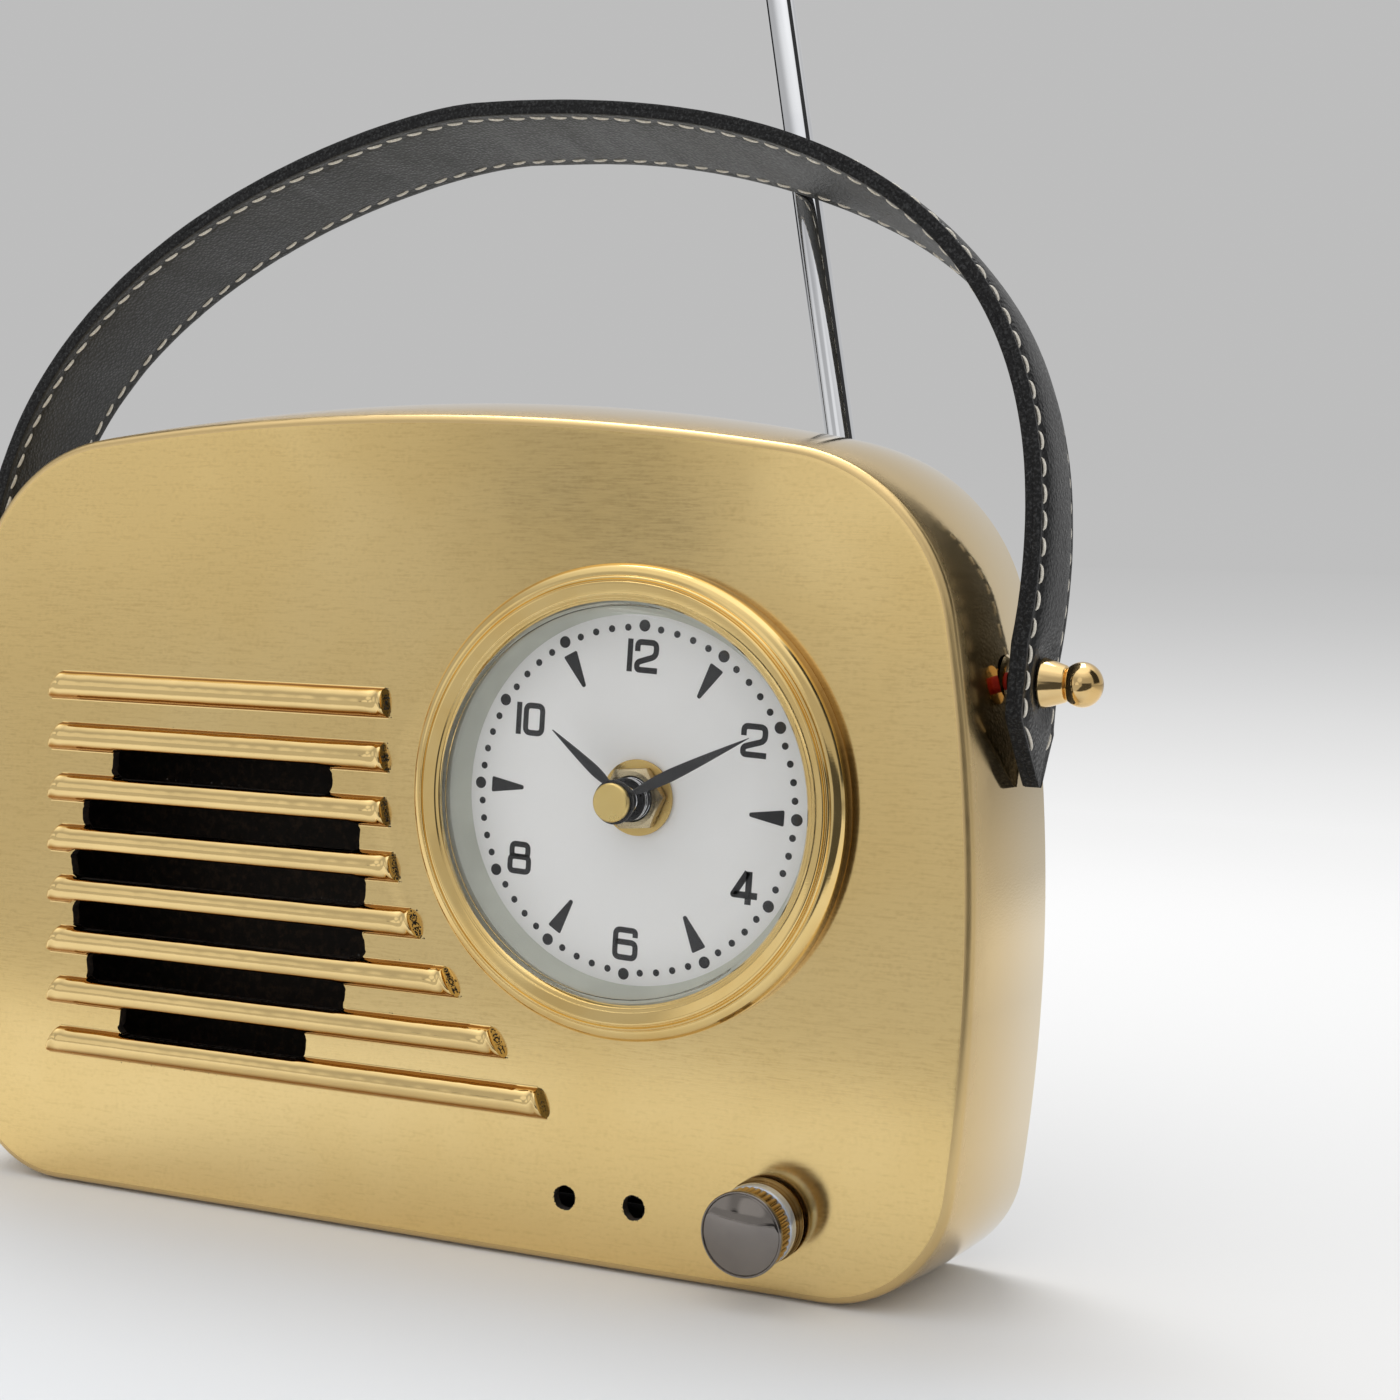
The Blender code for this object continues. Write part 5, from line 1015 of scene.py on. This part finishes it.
def knob():
    """Foot, polished ring, knurled band and nickel cap."""
    at = facing(*KNOB)
    foot = [(3.4, 1.2), (7.83, 1.2), (7.83, 1.9), (7.45, 2.15), (7.45, 2.6), (7.2, 2.75), (7.2, 3.6)]
    bm = lathe(soft_loop([*foot, (3.4, 3.6)], 0.12, 3), at, 128, True)
    add("knob_foot", bm, M["foot"], "knob", ["knob_base"])
    collar = [(3.4, 3.9), (7.2, 3.9), (7.62, 4.25), (7.62, 5.9), (7.35, 6.5), (3.4, 6.5)]
    bm = lathe(soft_loop(collar, [0.2, 0.2, 0.3, 0.3, 0.3, 0.2], 4), at, 128, True)
    add("knob_ring", bm, M["ring_chrome"], "knob", ["knob_collar"])
    bm = bmesh.new()
    ridges = 38
    turns = [math.tau * k / (ridges * 8) for k in range(ridges * 8)]

    def ring(up, radii):
        return [vertex(bm, at, r * math.cos(a), r * math.sin(a), up) for r, a in zip(radii, turns)]

    grooves = [0.34 * (1 - abs(math.sin(a * ridges / 2)) ** 0.7) for a in turns]
    steps = ((6.65, 0.35), (6.8, 0.1), (7.1, 0), (10.6, 0), (10.85, 0.1), (10.98, 0.35))
    rows = [ring(up, [7.55 - worn - groove for groove in grooves]) for up, worn in steps]
    inner = [ring(up, [3.4] * len(turns)) for up in (6.65, 10.98)]
    for pair in (*zip(rows, rows[1:]), (rows[0], inner[0]), (rows[-1], inner[1]), inner):
        skin(bm, *pair)
    add("knurled_band", bm, M["knurl"], "knob", ["knob_band"], 50)
    cap = [(3.4, 11.03), (7.6, 11.03), (7.85, 11.2), (7.85, 11.85), (7.7, 12.1), (7.5, 12.1), (7.42, 11.86)]
    smooth = soften([*cap, (7.3, 11.98)], [0.1, 0.12, 0.12, 0.1, 0.05, 0.04], 5)
    shares = [1 - k / 24 for k in range(1, 24)]
    smooth += [(7.28 * share, 12.0 + 0.98 * (1 - share**2)) for share in shares]
    bm = lathe([(0, 11.45), (3.3, 11.45), *smooth, (0, 12.98)], at, 128)
    add("nickel_cap", bm, M["nickel"], "knob", ["knob_cap"], 40)


# Handle


def studs():
    """Ball studs with the red sleeve and the washer behind the strap."""
    wall = STUD_WALL / MM
    seat, ball, inner = wall + LEG_OUT + 5.92 + 0.1, wall + 13.8, wall - 1.8 - 0.9 - 0.3 - 2.4 - 0.3
    turns = [math.radians(-44 + 134 * k / 28) for k in range(29)]
    sphere = [(4.15 * math.cos(t), ball + 3.8 * math.sin(t)) for t in turns]
    neck = sphere[0][1]
    cone = [(1.3, seat), (4.55, seat), (4.7, seat + 0.3), (3.35, neck - 0.25), (2.75, neck - 0.05), sphere[0]]
    profile = [(0, inner), (1.3, inner), (1.3, seat), *soften(cone, [0.12, 0.15, 0.3, 0.12], 5)]
    profile += sphere[1:-1] + [(0, sphere[-1][1])]
    sleeve = [(1.34, wall + 0.33), (1.62, wall + 0.33), (1.62, wall + 3.2), (1.34, wall + 3.2)]
    back = wall + LEG_OUT + 2.5
    washer = [(1.34, wall + 3.2), (3.5, wall + 3.2), (3.7, wall + 3.4), (3.7, back), (1.34, back)]
    for side, name in ((1, "right"), (-1, "left")):
        at = stud_frame(side)
        bm = lathe(profile, at, 72)
        add(f"stud_{name}", bm, M["stud"], "clock", [f"ball_stud_{name}"], 40)
        bm = lathe(sleeve, at, 40, True)
        add(f"sleeve_{name}", bm, M["fibre"], "clock", [f"spacer_{name}"])
        add(f"stud_washer_{name}", lathe(washer, at, 64, True), M["stud"], "clock")


PIVOT = Matrix.Translation(STUD) @ Matrix.Rotation(-math.radians(11.5), 4, "X")


def leg_out(height):
    """How far a leg stands off more near its stud."""
    return LEG_OUT * MM * (1 - ease(clamp(height / 0.036)))


def strap_path():
    """Stations of the strap from its left tip to its right tip: place, half width."""
    stud_x = STUD_WALL + 0.00427
    crown = Vector((-0.0067, 0.1108))
    path = []
    for side, crown_pull, leg_pull, bulge in ((-1, 0.0251, 0.0820, 0.0138), (1, 0.0350, 0.1080, 0.0118)):
        shoulder = crown + Vector((side * crown_pull, 0))
        foot = Vector((side * stud_x, 0.0055))
        leg = foot + Vector((side * bulge, leg_pull - 0.0055))
        half = []
        for t in (k / 16 for k in range(17)):
            width = (0.7 + (LEG_HALF / MM - 0.7) * t**0.92) * MM
            half.append((Vector((side * stud_x, -0.0185 + 0.0105 * t)), width))
        for k in range(1, 18):
            half.append((Vector((side * stud_x, -0.008 + 0.0135 * k / 18)), LEG_HALF))
        for t in (k / 92 for k in range(93)):
            rest = 1 - t
            at = rest**3 * foot + 3 * rest**2 * t * leg + 3 * rest * t**2 * shoulder + t**3 * crown
            half.append((at, LEG_HALF + (STRAP_HALF - LEG_HALF) * ease(min(1.0, t / 0.55))))
        half = [(at + Vector((side * leg_out(at.y), 0)), width) for at, width in half]
        path += half if side < 0 else list(reversed(half[:-1]))
    return path


def strap_frames():
    """Place, direction, normal, half width and way walked at each station of the strap."""
    path = strap_path()
    frames = []
    walked = 0.0
    for i, (at, half) in enumerate(path):
        ahead, back = path[min(i + 1, len(path) - 1)][0], path[max(i - 1, 0)][0]
        tangent = (ahead - back).normalized()
        if i:
            walked += (at - path[i - 1][0]).length
        normal = Vector((-tangent.y, 0, tangent.x))
        frames.append((Vector((at.x, 0, at.y)), Vector((tangent.x, 0, tangent.y)), normal, half, walked))
    return frames


def tip_shift(walked, total):
    """The tips point to the rear; in millimetres."""
    end = min(walked, total - walked) / MM
    return 5.2 * max(0.0, 1 - end / 11.5) ** 1.1


def strap_roll(share):
    """How far the rear edge hangs below the front edge, in millimetres."""
    crown = max(0.0, 1 - abs(share - 0.5) / 0.3)
    right = max(0.0, 1 - abs(share - 0.665) / 0.14)
    return 1.4 * ease(crown) + 1.7 * ease(right)


# Inset and height of the strap's rim: a raw edge, then the groove under the stitches
RAW_RIM = [(0.05, 0.02), (0.0, 0.25), (-0.03, 0.8), (0.0, 1.22), (0.14, 1.46), (0.45, 1.56)]
STRAP_RIM = [*RAW_RIM, (1.0, 1.52), (1.45, 1.40), (2.2, 1.34), (2.75, 1.40)]


def strap_layer(name, outward, top_material, cad_node, padding):
    """One leather of the strap: raw edges, a groove under the stitches and a padded middle."""
    frames = strap_frames()
    total = frames[-1][4]
    bm = bmesh.new()
    rings = []
    shares = [1.0, 0.985, 0.95, 0.88, 0.76, 0.58, 0.32, 0.0]
    shares = [-q for q in shares] + shares[-2::-1]
    for middle, _, normal, half, walked in frames:
        s, h = walked / MM, half / MM
        aside, roll = tip_shift(walked, total), strap_roll(walked / total)
        scale = min(1.0, h / 6.0)
        end = min(walked, total - walked) / MM
        cushion = padding * clamp((end - 3) / 12) * scale
        near = h + 0.10 * waver(s * 0.11, outward, 3.0) + 0.07 * waver(s * 0.6, outward, 8.0)
        far = h + 0.12 * waver(s * 0.13, outward, 17.0) + 0.08 * waver(s * 0.5, outward, 5.0)
        rim = [(inset * (scale if inset > 0.1 else 1.0), up) for inset, up in STRAP_RIM]
        section = [(-near + inset, up) for inset, up in rim]
        for q in shares:
            across = q * ((near if q < 0 else far) - 3.0 * scale)
            free = clamp((math.hypot(end - 18.5, across) - 4.9) / 4.0)
            rise = cushion * max(0.0, 1 - abs(q) ** 3) ** 0.55 * ease(free)
            section.append((across, 1.44 + rise + 0.03 * waver(s * 0.05, q, outward)))
        section += [(far - inset, up) for inset, up in reversed(rim)]
        ring = []
        for across, up in section:
            fall = roll * (across + h) / (2 * h)
            point = middle + normal * ((outward * up - fall) * MM) + Vector((0, (across + aside) * MM, 0))
            ring.append(bm.verts.new(PIVOT @ point))
        rings.append(ring)
    count = len(rings[0])
    for first, second in zip(rings, rings[1:]):
        for i in range(count):
            j = (i + 1) % count
            face = bm.faces.new((first[i], first[j], second[j], second[i]))
            face.material_index = int(i < 4 or i > count - 6)
    for ring in (rings[0], rings[-1]):
        bm.faces.new(ring).material_index = 1
    add(name, bm, [top_material, M["edge"]], "handle", [cad_node], 45)


def stitches():
    """Cream running stitches along both edges of both faces."""
    frames = strap_frames()
    total = frames[-1][4]
    bm = bmesh.new()

    def at(walked):
        """Place, normal and half width anywhere along the strap."""
        walked = clamp(walked, 0.0, total)
        last = len(frames) - 1
        high = next((i for i in range(1, last) if frames[i][4] > walked), last)
        a, b = frames[high - 1], frames[high]
        t = (walked - a[4]) / max(b[4] - a[4], 1e-9)
        return a[0].lerp(b[0], t), a[2].lerp(b[2], t), a[3] + (b[3] - a[3]) * t

    for row, (outward, edge) in enumerate(((1, 1), (1, -1), (-1, 1), (-1, -1)), 1):
        walked = 0.0062 + 0.0011 * row
        number = 0
        while walked < total - 0.0075:
            number += 1
            length = (3.75 + 0.35 * waver(number * 1.37, row * 4.1, 0.5)) * MM
            rings = []
            for k in range(8):
                t = k / 7
                now = walked + length * t
                middle, normal, half = at(now)
                inset = 2.2 + 0.14 * waver(number * 0.9, row * 2.2, 2.5) + 0.5 * (t - 0.5)
                across = edge * (half - inset * MM)
                hump = math.sin(math.pi * t) ** 0.45 if 0 < k < 7 else 0.0
                lift = 1.12 + (0.62 if outward > 0 and edge < 0 else 0.36) * hump
                thick = 0.16 + (0.26 if outward > 0 else 0.20) * hump
                fall = strap_roll(now / total) * (across + half) / (2 * half) * MM
                across += tip_shift(now, total) * MM
                centre = middle + normal * (outward * lift * MM - fall) + Vector((0, across, 0))
                ring = []
                for ux, uz in circle((0, 0), 1, 8):
                    off = Vector((0, 1, 0)) * ux * thick * 1.12 + normal * uz * thick * 0.8
                    ring.append(bm.verts.new(PIVOT @ (centre + off * MM)))
                rings.append(ring)
            loft(bm, rings)
            walked += (4.9 + 0.25 * waver(number * 2.1, row, 7.7)) * MM
    add("stitching", bm, M["thread"], "handle", sharp=60)


# Rod aerial

HINGE = Matrix.Translation(front(0.0733, 0.1428, -(0.037 + 0.0065)))
SWIVEL = HINGE @ Matrix.Rotation(-math.radians(14.6), 4, "Y")
ROD = SWIVEL @ Matrix.Rotation(-math.radians(11.9), 4, "X")


def aerial():
    """Three tubes that slide into one another, the lug at the foot and the ball at the end."""
    rod = ROD @ Matrix.Translation((AERIAL_ASIDE, 0, 0))
    tubes = ((3.0, 2.4, 3.5, 130.0), (2.1, 1.8, 60.0, 165.0), (1.5, 0, 95.0, 190.0))
    for number, (outer, inner, low, high) in enumerate(tubes, 1):
        if inner:
            bore = inner - 0.02
            profile = [(0, low), (outer - 0.3, low), (outer, low + 0.3), (outer, high - 1.1)]
            profile += [(outer - 0.12, high - 0.5), (outer - 0.14, high - 0.06), (outer - 0.24, high)]
            profile += [(bore, high), (bore, low + 4), (0, low + 4)]
        else:
            profile = [(0, low), (outer - 0.2, low), (outer, low + 0.2), (outer, high), (0, high)]
        bm = lathe(profile, rod, 64)
        if number == 1:
            lug = arc((0, 0), 2.1, -math.pi / 2, math.pi / 2, 20) + [(-3.8, 2.1), (-3.8, -2.1)]
            prism(lug, ROD @ Matrix.Rotation(math.pi / 2, 4, "Y"), -1.7, 1.7, bm)
        section = f"aerial_section_{number}"
        add(f"aerial_tube_{number}", bm, M["chrome"], section, [section], 35)
    top = 190.3
    ball = [(0, top), (1.7, top), (1.7, 188.3), *arc((0, top), 2.6, -0.86, math.pi / 2, 24)[1:-1], (0, 192.9)]
    add("aerial_ball", lathe(ball, rod, 48), M["chrome"], "aerial_section_3", ["aerial_tip"], 40)


# Surroundings


def mixed(level, mask, value):
    """A level that gives way to another where the mask is one."""
    return level * (1.0 - mask) + mask * value


def dimmed(level, mask, amount):
    """A level that loses a share where the mask is one."""
    return level * (1.0 - mask * amount)


def sweep(angle, low, high, start=1.0, end=0.0):
    """Fades over an angle between two limits in degrees."""
    return spread(angle, math.radians(low), math.radians(high), start, end)


def turned_off(x, y, middle):
    """Angle between a direction and one that is given in degrees."""
    return calc("ABSOLUTE", calc("ARCTAN2", x, y) - math.radians(middle))


def rays(*kinds):
    """Whether a ray is of a kind, for each kind asked for."""
    return [node("LightPath", f"Is {kind} Ray") for kind in kinds]


def backdrop():
    """A pale floor that greys into the distance, under an even studio sky; near the body it has a painted
    cool tint, and further out it glows, graded by distance, for the camera and mirrors.
    """
    bm = bmesh.new()
    rings = [[bm.verts.new((x, y, 0)) for x, y in circle((0, 0), r, 64)] for r in (0.6, 1.5, 4, 12, 60)]
    for a, b in zip(rings, rings[1:]):
        skin(bm, a, b)
    bm.faces.new(rings[0])
    floor = link("floor", to_mesh("floor", bm))
    paper = (0.80, 0.80, 0.80)
    made = material("floor_paper", paper, 0.9)
    where = place()
    x, y, _ = split(where)
    seen, glossy, through = rays("Camera", "Glossy", "Transmission")
    away = node("VectorMath", "Value", {0: where}, operation="LENGTH")
    # painted light: near the body the floor is tinted cool to cancel the warm light bounced off the gold
    near = spread(away, 0.16, 0.36, 1.0, 0.0) * spread(y, -0.02, -0.06)
    dress(made, Specular_IOR_Level=0.1, Base_Color=shade(near, paper, (0.80, 0.822, 0.853)))
    stops = [(0, 0.52), (0.048, 0.565), (0.1, 0.635), (0.171, 0.73), (0.26, 0.82), (0.353, 0.89)]
    level = curve(calc("DIVIDE", 0.3, away), [*stops, (0.5, 0.913)])
    ahead = spread(y, -0.15, -0.21) * glossy
    level = mixed(level, ahead, 0.56)
    off = node("VectorMath", "Value", {0: where, 1: (0.5, 0.86, 0)}, operation="DOT_PRODUCT")
    level = dimmed(level, spread(off, 0.22, 0.55) * glossy, 0.34)
    level = dimmed(level, sweep(turned_off(x, y * -1.0, 46), 24, 32) * ahead, 0.85)
    glow = node("Emission", 0, {"Color": (1, 1, 1), "Strength": level})
    far = calc("MAXIMUM", spread(away, 0.42, 0.85), ahead)
    mix_in(made, far * calc("MAXIMUM", calc("MAXIMUM", seen, glossy), through), glow)
    floor.data.materials.append(made)


def sky():
    """Bright and dark panels for what mirrors see, and a plain soft light for the rest."""
    world = bpy.data.worlds.new("studio")
    bpy.context.scene.world = world
    world.use_nodes = True
    Value.tree = world.node_tree
    way = node("TexCoord", "Generated")
    x, y, z = split(way)
    height = calc("ARCSINE", z)
    seen, glossy = rays("Camera", "Glossy")

    def light(level, azimuth, elevation, inner, outer, value):
        """A round panel."""
        a, e = math.radians(azimuth), math.radians(elevation)
        aim = (math.cos(e) * math.sin(a), -math.cos(e) * math.cos(a), math.sin(e))
        dot = node("VectorMath", "Value", {0: way, 1: aim}, operation="DOT_PRODUCT")
        return mixed(level, sweep(calc("ARCCOSINE", dot), inner, outer), value)

    def strip(level, azimuth, half, soft, value):
        """An upright panel."""
        mask = sweep(turned_off(y, x, azimuth), half, half + soft)
        return mixed(level, mask * sweep(height, 3, 8, 0.0, 1.0) * sweep(height, 62, 52, 0.0, 1.0), value)

    level = sweep(height, 28, 52, 0.50, 0.95) + spread(y, 0.2, 0.6) * 0.09
    level = light(level, -52, 4, 16, 24, 0.78)
    level = light(level, -13, 4, 8, 13, 0.88)
    level = light(level, -26.5, -1, 1.6, 4.2, 0.10)
    level = dimmed(level, sweep(turned_off(x, y * -1.0, 44), 24, 32) * sweep(height, 7, 12), 0.85)
    level = light(level, 2, 27, 9, 17, 0.88)
    level = light(level, 0, 90, 24, 40, 1.35)
    level = strip(level, 17, 19, 5, 0.04)
    level = strip(level, 152, 11, 3, 0.02)
    plain = seen * sweep(height, 0, 3, 0.52, 0.51) + (1.0 - seen) * spread(y, -0.6, 0.5, 1.13, 0.44)
    background = world.node_tree.nodes["Background"]
    feed(background.inputs["Color"], (1, 1, 1))
    feed(background.inputs["Strength"], glossy * level + (1.0 - glossy) * plain)


def overhead():
    """One large soft lamp above and behind."""
    lamp = bpy.data.lights.new("overhead", "AREA")
    lamp.shape = "RECTANGLE"
    lamp.size, lamp.size_y = 0.9, 0.8
    lamp.energy = 9.6
    made = link("overhead", lamp)
    made.location = (-0.25, 0.48, 1.25)
    made.rotation_euler = (Vector((0, 0, 0.05)) - made.location).to_track_quat("-Z", "Y").to_euler()
    made.visible_camera = False


def camera():
    """The camera that was solved from the photograph."""
    lens = bpy.data.cameras.new("camera")
    lens.sensor_width = 36.0
    lens.lens = 60.855
    lens.clip_start = 0.01
    lens.clip_end = 200.0
    made = link("camera", lens)
    right = Vector((0.910898, 0.411863, 0.025081))
    up = Vector((-0.048488, 0.046480, 0.997740))
    back = Vector((0.409767, -0.910060, 0.062310))
    turn = Matrix((right, up, back)).transposed()
    made.matrix_world = Matrix.Translation((0.237843, -0.413177, 0.136089)) @ turn.to_4x4()
    bpy.context.scene.camera = made


camera()
casting()
pad()
bars()
pits()
bezel()
crystal()
dial()
hand("hour_hand_leaf", "hour", 2.55, 19.6, math.radians(305.8) + DIAL_TURN, 3.7, 2.0, "hour_hand")
hand("minute_hand_leaf", "minute", 1.55, 29.5, math.radians(61.1) + DIAL_TURN, 8.4, 2.3, "minute_hand")
shaft_stack()
knob()
studs()
strap_layer("strap_top", 1, M["leather"], "strap_outer", 1.3)
strap_layer("strap_under", -1, M["lining"], "strap_lining", 0.2)
stitches()
aerial()
backdrop()
sky()
overhead()
bpy.context.scene.view_settings.view_transform = "Standard"
